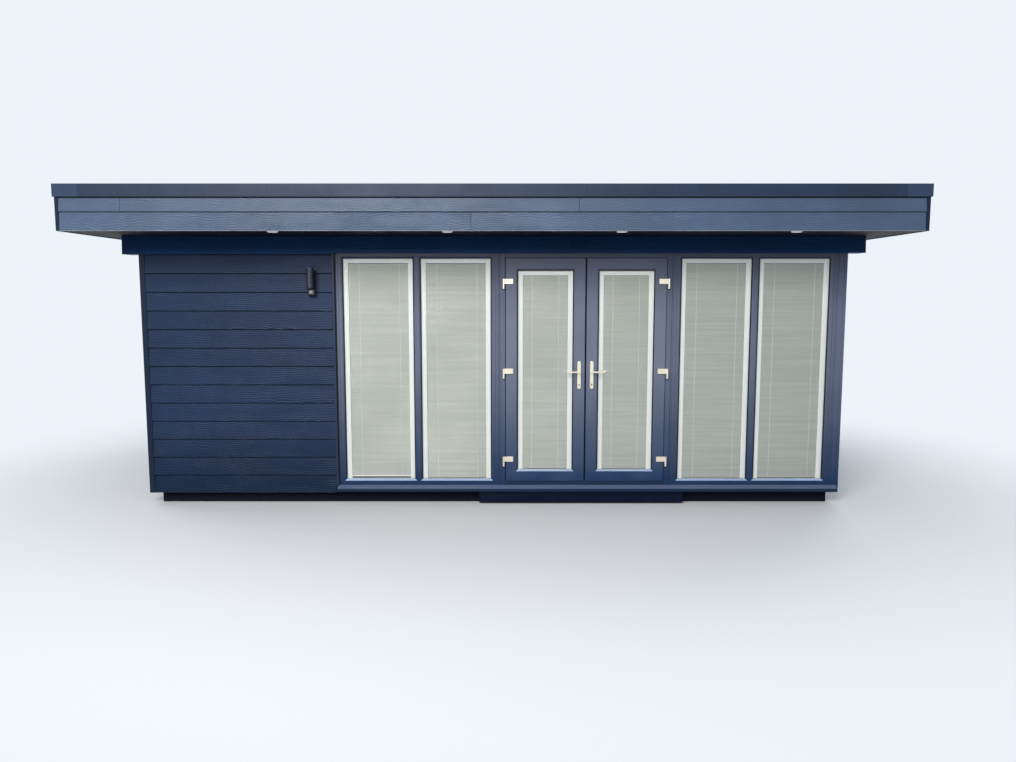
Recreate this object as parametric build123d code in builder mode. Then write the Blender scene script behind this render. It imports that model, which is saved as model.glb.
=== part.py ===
from build123d import *
from math import cos, radians, sin
import os

os.makedirs("parts", exist_ok=True)

# A garden office: a timber base, insulated walls clad in lapped boards, a glazed front with
# a pair of doors that open outward, and a flat roof that runs out over the front.
# Millimetres, +Z up, the front faces -Y, ground at z = 0, origin under the middle of the roof.

# Front wall, from left to right
clad_len = 1635
window_w = 1430
door_w = 1488
post_w = 47

# Walls and floor
wall_d = 3400
wall_t = 125
base_h = 100
base_set_back = 60
rim_t = 50
bays = 10
deck_t = 40

# Lapped boards
course = 160
courses = 14
board_lip = 20
board_thin = 11
corner_leg = 45
trim_proud = 2
jamb_trim_w = 20
jamb_gap = 7

# Roof
front_over = 570
side_over = 413
back_over = 150
soffit_t = 12
soffit_joint = 2
fascia_drop = 4
fascia_low = 150
fascia_up = 114
fascia_t = 22
fascia_thin = 13
fascia_corner = 27
roof_slab = 298
kerb_w = 60
membrane_t = 3
edge_h = 100
edge_out = 11
edge_t = 3
edge_flange = 60
edge_round = 2
edge_corner = 203
edge_length = 2500
joint_gap = 1

# Header course, which runs past both corners and is cut shorter over the glazing
header_over = 164
header_end_d = 150
header_lift = 13
header_cover = 10

# Sill
sill_t = 25
sill_out = 45
sill_nose = 28
sill_nose_t = 15
sill_root = 14
sill_round = 4

# Fixed window frames
frame_set = 5
frame_d = 70
frame_side = 79
frame_head = 56
frame_foot = 54
mullion = 68
bead_w = 17
bead_d = 12
edge_break = 2
groove_w = 2
groove_d = 2
groove_near = 14
groove_far = 39

# Sealed glazing units: two sheets of glass with a blind in the space between them
glass_set = 20
sheet_t = 4
pocket = 12
fit = 0.5
guide_w = 43
headrail_h = 40
blind_d = 20
curtain_set = 8
curtain_t = 3
rail_h = 8
rail_lift = 10

# Doors
sash_out = 8
sash_t = 62
sash_face = 105
jamb_w = 47
head_h = 50
threshold_h = 31
threshold_slope = 10
stop_w = 15
clear = 5
meeting_gap = 14

# Hinges
pin_side = 19
pin_front = 8
barrel_r = 9
pin_r = 4
pin_fit = 0.1
hinge_h = 45
hinge_leg = 40
hinge_plate_w = 83
hinge_plate_t = 12
hinge_corner = 4
hinge_edge = 2.5
hinge_from_end = 198
hinge_gap = 0.3

# Handles
spindle_in = 48
spindle_up = 969
spindle_w = 8
spindle_hole_r = 8
plate_w = 31
plate_h = 245
plate_t = 10
plate_edge = 4
plate_above = 94
key_below = 112
key_r = 8.5
key_w = 10
key_h = 33
key_out = 4
neck_r = 9
neck_gap = 1
neck_l = 40
lever_run = 94
lever_curl = 22
lever_turn = 75
lever_w = 14
lever_t = 11

# Board under the doors
step_w = 1793
step_shift = -29
step_joint = 445
step_t = 20
step_bottom = 10
step_top = 112
step_cleat = 40

# Lamps
lamp_x = 1457
lamp_up = 1791
lamp_h = 173
lamp_r = 31
lamp_wall = 2.5
lamp_recess = 18
lamp_stand = 80
lamp_neck_r = 14
lamp_plate_w = 66
lamp_plate_t = 22
lamp_plate_drop = 26
sensor_h = 57
sensor_d = 48
sensor_gap = 2
sensor_edge = 6
dome_r = 15
spot_first = 1262
spot_pitch = 1391
spot_count = 4
spot_back = 90
spot_r = 43
spot_lens_r = 29
spot_rim = 8
spot_recess = 3
spot_edge = 3

# Places that follow from the sizes above
wall_w = clad_len + 2 * window_w + door_w + post_w
total_d = front_over + wall_d + back_over + 2 * edge_out
x0 = -wall_w / 2
x1 = wall_w / 2
y0 = -total_d / 2 + edge_out + front_over
y1 = y0 + wall_d
mid_y = (y0 + y1) / 2
x_glass = x0 + clad_len
x_door = x_glass + window_w
x_door_end = x_door + door_w
x_post = x_door_end + window_w
deck_top = base_h + deck_t
soffit_z = base_h + courses * course
wall_top = soffit_z + soffit_t
header_z = base_h + (courses - 1) * course
header_foot = header_z + header_lift
frame_top = header_foot + header_cover
frame_bottom = deck_top + sill_t
y_frame = y0 + frame_set
y_frame_back = y_frame + frame_d
y_sash = y0 - sash_out
y_stop = y_sash + sash_t + clear
roof_x = x1 + side_over
roof_y0 = y0 - front_over
roof_y1 = y1 + back_over
roof_mid_y = (roof_y0 + roof_y1) / 2
fascia_z = soffit_z - fascia_drop
edge_z = fascia_z + fascia_low + fascia_up
corner_in = corner_leg - board_lip - trim_proud


def save(piece, name):
    piece.part.label = name
    export_step(piece.part, f"parts/{name}.step")


def outward(side, x, y, z):
    """A plane across a wall: its first direction points out of the building, its second up."""
    directions = {"front": (0, -1, 0), "back": (0, 1, 0), "left": (-1, 0, 0), "right": (1, 0, 0)}
    out = Vector(directions[side])
    return Plane(origin=(x, y, z), x_dir=out, z_dir=out.cross(Vector(0, 0, 1)))


def lapped(exposures, lip, thin):
    """Outline of lapped boards: each one leans out to its lower edge."""
    points = [(0, 0)]
    height = 0
    for exposure in exposures:
        points.append((lip, height))
        height += exposure
        points.append((thin, height))
    points.append((0, height))
    return points


def block(x_a, x_b, y_a, y_b, z_a, z_b):
    """A plain block between two corners, added to the open part."""
    with Locations(((x_a + x_b) / 2, (y_a + y_b) / 2, (z_a + z_b) / 2)):
        Box(x_b - x_a, y_b - y_a, z_b - z_a)


# Base and floor
base_w = wall_w - 2 * base_set_back
base_d = wall_d - 2 * base_set_back
bay_pitch = (base_w - rim_t) / bays
with BuildPart() as base_frame:
    with BuildSketch(Plane.XY):
        with Locations((0, mid_y)):
            Rectangle(base_w, base_d)
            with GridLocations(bay_pitch, 0, bays, 1):
                Rectangle(bay_pitch - rim_t, base_d - 2 * rim_t, mode=Mode.SUBTRACT)
    extrude(amount=base_h)
save(base_frame, "base_frame")

with BuildPart() as floor_deck:
    block(x0, x1, y0, y1, base_h, deck_top)
save(floor_deck, "floor_deck")

# Walls
with BuildPart() as front_wall:
    block(x0, x_glass, y0, y0 + wall_t, deck_top, wall_top)
save(front_wall, "front_wall")

with BuildPart() as back_wall:
    block(x0, x1, y1 - wall_t, y1, deck_top, wall_top)
save(back_wall, "back_wall")

with BuildPart() as left_wall:
    block(x0, x0 + wall_t, y0 + wall_t, y1 - wall_t, deck_top, wall_top)
save(left_wall, "left_wall")

with BuildPart() as right_wall:
    block(x1 - wall_t, x1, y0 + wall_t, y1 - wall_t, deck_top, wall_top)
save(right_wall, "right_wall")

with BuildPart() as header_beam:
    block(x_glass, x1, y0, y0 + wall_t, frame_top, wall_top)
save(header_beam, "header_beam")

with BuildPart() as corner_post:
    block(x_post, x1, y_frame, y0 + wall_t, frame_bottom, frame_top)
save(corner_post, "corner_post")

# Lapped boards on the walls
wall_courses = [course] * courses
boards_left = x0 + corner_in
boards_right = x_glass - jamb_gap - jamb_trim_w
with BuildPart() as front_cladding:
    with BuildSketch(outward("front", boards_right, y0, base_h)):
        with BuildLine():
            Polyline(lapped(wall_courses[:-1], board_lip, board_thin), close=True)
        make_face()
    extrude(amount=boards_right - boards_left)
save(front_cladding, "front_cladding")

header_end_in = board_lip + trim_proud
with BuildPart() as header_cladding:
    with BuildSketch(outward("front", x1 + header_over, y0, header_z)):
        with BuildLine():
            Polyline(lapped([course], board_lip, board_thin), close=True)
        make_face()
    extrude(amount=wall_w + 2 * header_over)
    block(x0 - header_over, x0 - header_end_in, y0, y0 + header_end_d, header_z, soffit_z)
    block(x1 + header_end_in, x1 + header_over, y0, y0 + header_end_d, header_z, soffit_z)
    with BuildSketch(Plane.XY.offset(header_z)):
        with Locations((boards_right, y0 - board_lip)):
            Rectangle(x1 + header_over - boards_right, board_lip + header_end_d, align=(Align.MIN, Align.MIN))
    extrude(amount=header_lift, mode=Mode.SUBTRACT)
save(header_cladding, "header_cladding")

side_boards = wall_d - 2 * corner_in
with BuildPart() as side_cladding:
    with BuildSketch(outward("left", x0, y0 + corner_in, base_h)):
        with BuildLine():
            Polyline(lapped(wall_courses, board_lip, board_thin), close=True)
        make_face()
    extrude(amount=side_boards)
    with BuildSketch(outward("right", x1, y1 - corner_in, base_h)):
        with BuildLine():
            Polyline(lapped(wall_courses, board_lip, board_thin), close=True)
        make_face()
    extrude(amount=side_boards)
save(side_cladding, "side_cladding")

with BuildPart() as back_cladding:
    with BuildSketch(outward("back", x0 + corner_in, y1, base_h)):
        with BuildLine():
            Polyline(lapped(wall_courses, board_lip, board_thin), close=True)
        make_face()
    extrude(amount=wall_w - 2 * corner_in)
save(back_cladding, "back_cladding")

# Corner angles and the strip beside the glazing
trim_out = board_lip + trim_proud
with BuildPart() as corner_trims:
    for x_face, y_face, x_way, y_way, height in (
        (x0, y0, 1, 1, header_z - base_h),
        (x0, y1, 1, -1, soffit_z - base_h),
        (x1, y1, -1, -1, soffit_z - base_h),
    ):
        with BuildSketch(Plane.XY.offset(base_h)):
            with BuildLine():
                Polyline(
                    (x_face - x_way * trim_out, y_face - y_way * trim_out),
                    (x_face + x_way * corner_in, y_face - y_way * trim_out),
                    (x_face + x_way * corner_in, y_face),
                    (x_face, y_face),
                    (x_face, y_face + y_way * corner_in),
                    (x_face - x_way * trim_out, y_face + y_way * corner_in),
                    close=True,
                )
            make_face()
        extrude(amount=height)
    block(x1, x1 + trim_out, y0, y0 + corner_in, base_h, header_foot)
    block(boards_right, boards_right + jamb_trim_w, y0 - trim_out, y0, base_h, header_foot)
save(corner_trims, "corner_trims")

# Roof
slab_x = roof_x - fascia_t
slab_y0 = roof_y0 + fascia_t
slab_y1 = roof_y1 - fascia_t
membrane_z = wall_top + roof_slab
with BuildPart() as roof_panel:
    block(-slab_x, slab_x, slab_y0, slab_y1, wall_top, membrane_z)
save(roof_panel, "roof_panel")

# A nailer under the metal edge, and a kerb on the roof behind it
nailer_out = edge_out - edge_t
kerb_top = edge_z + edge_h - edge_t
with BuildPart() as roof_kerb:
    with BuildSketch(Plane.XY.offset(edge_z + edge_t)):
        with Locations((0, roof_mid_y)):
            Rectangle(2 * (roof_x + nailer_out), roof_y1 - roof_y0 + 2 * nailer_out)
            Rectangle(2 * slab_x, slab_y1 - slab_y0, mode=Mode.SUBTRACT)
    extrude(amount=kerb_top - edge_z - edge_t)
    with BuildSketch(Plane.XY.offset(membrane_z)):
        with Locations((0, roof_mid_y)):
            Rectangle(2 * slab_x, slab_y1 - slab_y0)
            Rectangle(2 * (slab_x - kerb_w), slab_y1 - slab_y0 - 2 * kerb_w, mode=Mode.SUBTRACT)
    extrude(amount=kerb_top - membrane_z)
save(roof_kerb, "roof_kerb")

with BuildPart() as roof_membrane:
    block(
        kerb_w - slab_x, slab_x - kerb_w, slab_y0 + kerb_w, slab_y1 - kerb_w,
        membrane_z, membrane_z + membrane_t,
    )
save(roof_membrane, "roof_membrane")

with BuildPart() as ceiling_board:
    block(x0 + wall_t, x1 - wall_t, y0 + wall_t, y1 - wall_t, soffit_z, wall_top)
save(ceiling_board, "ceiling_board")

with BuildPart() as soffit:
    block(-slab_x, slab_x, slab_y0, y0, soffit_z, wall_top)
    block(-slab_x, slab_x, y1, slab_y1, soffit_z, wall_top)
    block(-slab_x, x0, y0 + soffit_joint, y1 - soffit_joint, soffit_z, wall_top)
    block(x1, slab_x, y0 + soffit_joint, y1 - soffit_joint, soffit_z, wall_top)
save(soffit, "soffit")

fascia_boards = lapped([fascia_low, fascia_up], fascia_t, fascia_thin)
fascia_w = 2 * (roof_x - fascia_corner)
fascia_d = roof_y1 - roof_y0 - 2 * fascia_corner
with BuildPart() as front_fascia:
    with BuildSketch(outward("front", fascia_w / 2, slab_y0, fascia_z)):
        with BuildLine():
            Polyline(fascia_boards, close=True)
        make_face()
    extrude(amount=fascia_w)
save(front_fascia, "front_fascia")

with BuildPart() as back_fascia:
    with BuildSketch(outward("back", -fascia_w / 2, slab_y1, fascia_z)):
        with BuildLine():
            Polyline(fascia_boards, close=True)
        make_face()
    extrude(amount=fascia_w)
save(back_fascia, "back_fascia")

with BuildPart() as side_fascias:
    with BuildSketch(outward("left", -slab_x, roof_y0 + fascia_corner, fascia_z)):
        with BuildLine():
            Polyline(fascia_boards, close=True)
        make_face()
    extrude(amount=fascia_d)
    with BuildSketch(outward("right", slab_x, roof_y1 - fascia_corner, fascia_z)):
        with BuildLine():
            Polyline(fascia_boards, close=True)
        make_face()
    extrude(amount=fascia_d)
save(side_fascias, "side_fascias")

with BuildPart() as fascia_corners:
    with BuildSketch(Plane.XY.offset(fascia_z)):
        with Locations((0, roof_mid_y)):
            Rectangle(2 * roof_x, roof_y1 - roof_y0)
            Rectangle(2 * slab_x, slab_y1 - slab_y0, mode=Mode.SUBTRACT)
            Rectangle(fascia_w, roof_y1 - roof_y0, mode=Mode.SUBTRACT)
            Rectangle(2 * roof_x, fascia_d, mode=Mode.SUBTRACT)
    extrude(amount=fascia_low + fascia_up)
save(fascia_corners, "fascia_corners")

# Folded metal edge around the roof: straight lengths between four corner pieces
edge_x = roof_x + edge_out
edge_w = 2 * edge_x
edge_d = total_d
corner_at_x = edge_x - edge_corner / 2
corner_at_y = edge_d / 2 - edge_corner / 2
edge_layers = (
    (edge_z, edge_t, edge_out),
    (edge_z, edge_h, edge_t),
    (edge_z + edge_h - edge_t, edge_t, edge_out + edge_flange),
)
with BuildPart() as roof_edge:
    for z, height, width in edge_layers:
        with BuildSketch(Plane.XY.offset(z)):
            with Locations((0, roof_mid_y)):
                Rectangle(edge_w, edge_d)
                Rectangle(edge_w - 2 * width, edge_d - 2 * width, mode=Mode.SUBTRACT)
        extrude(amount=height)
    fillet(roof_edge.faces().sort_by(Axis.Z)[-1].outer_wire().edges(), radius=edge_round)
    with BuildSketch(Plane.XY.offset(edge_z)):
        with Locations((0, roof_mid_y)):
            with GridLocations(2 * corner_at_x, 2 * corner_at_y, 2, 2):
                Rectangle(edge_corner, edge_corner)
        for number in range(1, int((edge_w - 2 * edge_corner) / edge_length) + 1):
            with Locations((edge_x - edge_corner - number * edge_length, roof_mid_y)):
                Rectangle(joint_gap, edge_d)
        for number in range(1, int((edge_d - 2 * edge_corner) / edge_length) + 1):
            with Locations((0, roof_mid_y - edge_d / 2 + edge_corner + number * edge_length)):
                Rectangle(edge_w, joint_gap)
    extrude(amount=edge_h, mode=Mode.SUBTRACT)
save(roof_edge, "roof_edge")

with BuildPart() as roof_edge_corners:
    for z, height, width in edge_layers:
        with BuildSketch(Plane.XY.offset(z)):
            with Locations((0, roof_mid_y)):
                Rectangle(edge_w, edge_d)
                Rectangle(edge_w - 2 * width, edge_d - 2 * width, mode=Mode.SUBTRACT)
        extrude(amount=height)
    fillet(roof_edge_corners.faces().sort_by(Axis.Z)[-1].outer_wire().edges(), radius=edge_round)
    with BuildSketch(Plane.XY.offset(edge_z)):
        with Locations((0, roof_mid_y)):
            with GridLocations(2 * corner_at_x + joint_gap, 2 * corner_at_y + joint_gap, 2, 2):
                Rectangle(edge_corner - joint_gap, edge_corner - joint_gap)
    extrude(amount=edge_h, mode=Mode.INTERSECT)
save(roof_edge_corners, "roof_edge_corners")

# Downlights: a rim with a sunk lens, flat against the soffit
spot_places = [
    (x0 + spot_first + number * spot_pitch, roof_y0 + spot_back) for number in range(spot_count)
]
with BuildPart() as downlights:
    with BuildSketch(Plane.XY.offset(soffit_z - spot_rim)):
        with Locations(*spot_places):
            Circle(spot_r)
    extrude(amount=spot_rim)
    chamfer(downlights.faces().group_by(Axis.Z)[0].edges(), length=spot_edge)
    with BuildSketch(Plane.XY.offset(soffit_z - spot_rim)):
        with Locations(*spot_places):
            Circle(spot_lens_r)
    extrude(amount=spot_recess, mode=Mode.SUBTRACT)
save(downlights, "downlights")

# Wall light: a tube open at both ends, held off a plate that has a sensor below
lamp_bottom = base_h + lamp_up
lamp_top = lamp_bottom + lamp_h
lamp_cx = x0 + lamp_x
plate_face = y0 - board_lip - lamp_plate_t
sensor_face = y0 - board_lip - sensor_d
lamp_y = y0 - lamp_stand - board_lip
sensor_top = lamp_bottom - sensor_gap
sensor_bottom = sensor_top - sensor_h
lamp_mid = (lamp_bottom + lamp_top) / 2
with BuildPart() as wall_light:
    block(
        lamp_cx - lamp_plate_w / 2, lamp_cx + lamp_plate_w / 2, plate_face, y0 - board_lip,
        sensor_bottom, lamp_top - lamp_plate_drop,
    )
    block(
        lamp_cx - lamp_plate_w / 2, lamp_cx + lamp_plate_w / 2, sensor_face, plate_face,
        sensor_bottom, sensor_top,
    )
    chamfer(wall_light.faces().sort_by(Axis.Y)[0].edges(), length=sensor_edge)
    with BuildSketch(Plane.XZ.offset(-plate_face)):
        with Locations((lamp_cx, lamp_mid)):
            Circle(lamp_neck_r)
    extrude(amount=plate_face - lamp_y)
    with BuildSketch(Plane.XY.offset(lamp_bottom)):
        with Locations((lamp_cx, lamp_y)):
            Circle(lamp_r)
    extrude(amount=lamp_h)
    for z, way in ((lamp_bottom, 1), (lamp_top, -1)):
        with BuildSketch(Plane.XY.offset(z)):
            with Locations((lamp_cx, lamp_y)):
                Circle(lamp_r - lamp_wall)
        extrude(amount=way * lamp_recess, mode=Mode.SUBTRACT)
    with Locations((lamp_cx, sensor_face, (sensor_bottom + sensor_top) / 2)):
        Sphere(dome_r)
save(wall_light, "wall_light")

# Sill under the glazing
with BuildPart() as sill:
    with BuildSketch(Plane.YZ.offset(x_glass)):
        with BuildLine():
            Polyline(
                (y_frame_back, deck_top),
                (y_frame_back, frame_bottom),
                (y0, frame_bottom),
                (y0 - sill_out, deck_top),
                (y0 - sill_out, deck_top - sill_nose),
                (y0 - sill_out + sill_nose_t, deck_top - sill_nose),
                (y0 - sill_out + sill_nose_t, deck_top - sill_root),
                (y0, deck_top),
                close=True,
            )
        make_face()
    extrude(amount=x1 - x_glass)
    fillet(sill.edges().filter_by(Axis.X).group_by(Axis.Y)[0], radius=sill_round)
save(sill, "sill")

# Fixed windows, each two panes wide
pane_w = (window_w - 2 * frame_side - mullion) / 2
pane_z0 = frame_bottom + frame_foot
pane_z1 = frame_top - frame_head
pane_h = pane_z1 - pane_z0
pane_mid = (pane_z0 + pane_z1) / 2
frame_h = frame_top - frame_bottom
frame_mid = (frame_top + frame_bottom) / 2
pane_step = pane_w + mullion
unit_t = blind_d + 2 * sheet_t
y_glass = y_frame + glass_set
y_blind = y_glass + sheet_t
for name, x_mid in (("left", x_glass + window_w / 2), ("right", x_post - window_w / 2)):
    pane_places = [(x_mid - pane_step / 2, pane_mid), (x_mid + pane_step / 2, pane_mid)]

    # A welded frame: sloping beads round each pane, a slot for each unit and lines down the sides
    with BuildPart() as window_frame:
        with BuildSketch(Plane.XZ.offset(-y_frame)):
            with Locations((x_mid, frame_mid)):
                Rectangle(window_w, frame_h)
            with Locations(*pane_places):
                Rectangle(pane_w, pane_h, mode=Mode.SUBTRACT)
        extrude(amount=-frame_d)
        face = window_frame.faces().sort_by(Axis.Y)[0]
        chamfer(face.inner_wires().edges(), length=bead_w, length2=bead_d, reference=face)
        face = window_frame.faces().sort_by(Axis.Y)[0]
        chamfer(face.outer_wire().edges(), length=edge_break)
        with BuildSketch(Plane.XZ.offset(-y_glass)):
            with Locations(*pane_places):
                Rectangle(pane_w + 2 * pocket, pane_h + 2 * pocket)
        extrude(amount=-unit_t, mode=Mode.SUBTRACT)
        with BuildSketch(Plane.XZ.offset(-y_frame)):
            for inset in (groove_near, groove_far):
                with Locations((x_mid, frame_mid)):
                    with GridLocations(window_w - 2 * inset, 0, 2, 1):
                        Rectangle(groove_w, frame_h)
        extrude(amount=-groove_d, mode=Mode.SUBTRACT)
    save(window_frame, f"{name}_window_frame")

    with BuildPart() as window_glass:
        for y_sheet in (y_glass, y_blind + blind_d):
            with BuildSketch(Plane.XZ.offset(-y_sheet)):
                with Locations(*pane_places):
                    Rectangle(pane_w + 2 * (pocket - fit), pane_h + 2 * (pocket - fit))
            extrude(amount=-sheet_t)
    save(window_glass, f"{name}_window_glass")

    with BuildPart() as window_blinds:
        with BuildSketch(Plane.XZ.offset(-y_blind)):
            with Locations(*pane_places):
                Rectangle(pane_w + 2 * (pocket - fit), pane_h + 2 * (pocket - fit))
            with Locations(*[(x, z - headrail_h) for x, z in pane_places]):
                Rectangle(pane_w - 2 * guide_w, pane_h + 2 * pocket, mode=Mode.SUBTRACT)
        extrude(amount=-blind_d)
        with BuildSketch(Plane.XZ.offset(-y_blind - curtain_set)):
            with Locations(*[(x, z + (rail_lift - headrail_h) / 2) for x, z in pane_places]):
                Rectangle(pane_w - 2 * guide_w, pane_h - headrail_h - rail_lift)
        extrude(amount=-curtain_t)
        with BuildSketch(Plane.XZ.offset(-y_blind)):
            with Locations(*[(x, pane_z0 + rail_lift + rail_h / 2) for x, z in pane_places]):
                Rectangle(pane_w - 2 * guide_w, rail_h)
        extrude(amount=-blind_d)
    save(window_blinds, f"{name}_window_blinds")

# Door frame: two jambs, a head and a threshold, each with a stop behind the leaves
for name, x_edge, way in (("left", x_door, 1), ("right", x_door_end, -1)):
    with BuildPart() as door_jamb:
        with BuildSketch(Plane.XY.offset(frame_bottom)):
            with BuildLine():
                Polyline(
                    (x_edge, y_frame),
                    (x_edge + way * jamb_w, y_frame),
                    (x_edge + way * jamb_w, y_stop),
                    (x_edge + way * (jamb_w + stop_w), y_stop),
                    (x_edge + way * (jamb_w + stop_w), y_frame_back),
                    (x_edge, y_frame_back),
                    close=True,
                )
            make_face()
        extrude(amount=frame_h)
        face = door_jamb.faces().sort_by(Axis.Y)[0]
        chamfer(face.edges().filter_by(Axis.Z), length=edge_break)
    save(door_jamb, f"{name}_door_jamb")

rail_x0 = x_door + jamb_w
rail_x1 = x_door_end - jamb_w
with BuildPart() as door_head:
    block(rail_x0, rail_x1, y_frame, y_stop, frame_top - head_h, frame_top)
    block(rail_x0 + stop_w, rail_x1 - stop_w, y_stop, y_frame_back, frame_top - head_h - stop_w, frame_top)
save(door_head, "door_head")

threshold_top = frame_bottom + threshold_h
with BuildPart() as door_threshold:
    block(rail_x0, rail_x1, y_frame, y_stop, frame_bottom, threshold_top)
    face = door_threshold.faces().sort_by(Axis.Y)[0]
    chamfer(face.edges().sort_by(Axis.Z)[-1], length=threshold_slope)
    block(rail_x0 + stop_w, rail_x1 - stop_w, y_stop, y_frame_back, frame_bottom, threshold_top + stop_w)
save(door_threshold, "door_threshold")

# Board under the doors, in two lengths, cleated to the base
step_x0 = (x_door + x_door_end) / 2 + step_shift - step_w / 2
step_x1 = step_x0 + step_w
with BuildPart() as step_board:
    for x_a, x_b in ((step_x0, step_x1 - step_joint - joint_gap), (step_x1 - step_joint, step_x1)):
        block(x_a, x_b, y0 - step_t, y0, step_bottom, step_top)
        block(x_a, x_b, y0, y0 + base_set_back, base_h - step_cleat, base_h)
save(step_board, "step_board")

# Door leaves
leaf_z0 = threshold_top + clear
leaf_z1 = frame_top - head_h - clear
leaf_h = leaf_z1 - leaf_z0
leaf_mid = (leaf_z0 + leaf_z1) / 2
leaf_w = (door_w - 2 * (jamb_w + clear) - meeting_gap) / 2
light_w = leaf_w - 2 * sash_face
light_h = leaf_h - 2 * sash_face
light_z0 = leaf_mid - light_h / 2
y_sash_back = y_sash + sash_t
y_leaf_glass = y_sash + glass_set
y_leaf_blind = y_leaf_glass + sheet_t
y_pin = y_sash - pin_front
hinge_places = [leaf_z0 + hinge_from_end, leaf_mid, leaf_z1 - hinge_from_end]
spindle_z = leaf_z0 + spindle_up
hinge_low = hinge_h / 2

for name, x_hinge, way in (
    ("left", x_door + jamb_w + clear, 1),
    ("right", x_door_end - jamb_w - clear, -1),
):
    x_mid = x_hinge + way * leaf_w / 2
    x_pin = x_hinge - way * pin_side
    x_spindle = x_hinge + way * (leaf_w - spindle_in)

    with BuildPart() as door_sash:
        with BuildSketch(Plane.XZ.offset(-y_sash)):
            with Locations((x_mid, leaf_mid)):
                Rectangle(leaf_w, leaf_h)
                Rectangle(light_w, light_h, mode=Mode.SUBTRACT)
        extrude(amount=-sash_t)
        face = door_sash.faces().sort_by(Axis.Y)[0]
        chamfer(face.inner_wires().edges(), length=bead_w, length2=bead_d, reference=face)
        face = door_sash.faces().sort_by(Axis.Y)[0]
        chamfer(face.outer_wire().edges(), length=edge_break)
        with BuildSketch(Plane.XZ.offset(-y_leaf_glass)):
            with Locations((x_mid, leaf_mid)):
                Rectangle(light_w + 2 * pocket, light_h + 2 * pocket)
        extrude(amount=-unit_t, mode=Mode.SUBTRACT)
        with BuildSketch(Plane.XZ.offset(-y_sash)):
            with Locations((x_spindle, spindle_z)):
                Circle(spindle_hole_r)
        extrude(amount=-sash_t, mode=Mode.SUBTRACT)
    save(door_sash, f"{name}_door_sash")

    with BuildPart() as door_glass:
        for y_sheet in (y_leaf_glass, y_leaf_blind + blind_d):
            with BuildSketch(Plane.XZ.offset(-y_sheet)):
                with Locations((x_mid, leaf_mid)):
                    Rectangle(light_w + 2 * (pocket - fit), light_h + 2 * (pocket - fit))
            extrude(amount=-sheet_t)
    save(door_glass, f"{name}_door_glass")

    with BuildPart() as door_blind:
        with BuildSketch(Plane.XZ.offset(-y_leaf_blind)):
            with Locations((x_mid, leaf_mid)):
                Rectangle(light_w + 2 * (pocket - fit), light_h + 2 * (pocket - fit))
            with Locations((x_mid, leaf_mid - headrail_h)):
                Rectangle(light_w - 2 * guide_w, light_h + 2 * pocket, mode=Mode.SUBTRACT)
        extrude(amount=-blind_d)
        with BuildSketch(Plane.XZ.offset(-y_leaf_blind - curtain_set)):
            with Locations((x_mid, leaf_mid + (rail_lift - headrail_h) / 2)):
                Rectangle(light_w - 2 * guide_w, light_h - headrail_h - rail_lift)
        extrude(amount=-curtain_t)
        with BuildSketch(Plane.XZ.offset(-y_leaf_blind)):
            with Locations((x_mid, light_z0 + rail_lift + rail_h / 2)):
                Rectangle(light_w - 2 * guide_w, rail_h)
        extrude(amount=-blind_d)
    save(door_blind, f"{name}_door_blind")

    # Hinge leaves on the sash: a rounded block with a bored barrel at its end
    with BuildPart() as sash_hinges:
        with BuildSketch(Plane.XZ.offset(-y_sash)):
            for z in hinge_places:
                with Locations((x_pin + way * hinge_plate_w / 2, z)):
                    RectangleRounded(hinge_plate_w, hinge_h, hinge_corner)
        extrude(amount=hinge_plate_t)
        fillet(sash_hinges.faces().group_by(Axis.Y)[0].edges(), radius=hinge_edge)
        for z in hinge_places:
            with BuildSketch(Plane.XY.offset(z - hinge_low)):
                with Locations((x_pin, y_pin)):
                    Circle(barrel_r)
            extrude(amount=hinge_h)
        for z in hinge_places:
            with BuildSketch(Plane.XY.offset(z - hinge_low)):
                with Locations((x_pin, y_pin)):
                    Circle(pin_r + pin_fit)
            extrude(amount=hinge_h, mode=Mode.SUBTRACT)
    save(sash_hinges, f"{name}_sash_hinges")

    # Hinge barrels on the frame, each with its pin and a foot on the jamb
    with BuildPart() as frame_hinges:
        for z in hinge_places:
            with BuildSketch(Plane.XY.offset(z - hinge_low - hinge_gap - hinge_leg)):
                with Locations((x_pin, y_pin)):
                    Circle(barrel_r)
                with Locations((x_pin, (y_pin + y_frame) / 2)):
                    Rectangle(2 * barrel_r, y_frame - y_pin)
            extrude(amount=hinge_leg)
            with BuildSketch(Plane.XY.offset(z - hinge_low - hinge_gap)):
                with Locations((x_pin, y_pin)):
                    Circle(pin_r)
            extrude(amount=hinge_h + hinge_gap)
    save(frame_hinges, f"{name}_frame_hinges")

    # Long plates on both faces of the sash
    with BuildPart() as handle_plates:
        for y_plate in (y_sash, y_sash_back + plate_t):
            with BuildSketch(Plane.XZ.offset(-y_plate)):
                with Locations((x_spindle, spindle_z + plate_above - plate_h / 2)):
                    SlotOverall(plate_h, plate_w, rotation=90)
                with Locations((x_spindle, spindle_z)):
                    Circle(neck_r + neck_gap, mode=Mode.SUBTRACT)
            extrude(amount=plate_t)
        for face in (handle_plates.faces().sort_by(Axis.Y)[0], handle_plates.faces().sort_by(Axis.Y)[-1]):
            fillet(face.outer_wire().edges(), radius=plate_edge)
        if name == "left":
            with BuildSketch(Plane.XZ.offset(-y_sash + plate_t)):
                with Locations((x_spindle, spindle_z - key_below)):
                    Circle(key_r)
                with Locations((x_spindle, spindle_z - key_below + key_r - key_h / 2)):
                    SlotOverall(key_h, key_w, rotation=90)
            extrude(amount=key_out)
    save(handle_plates, f"{name}_handle_plates")

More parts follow.
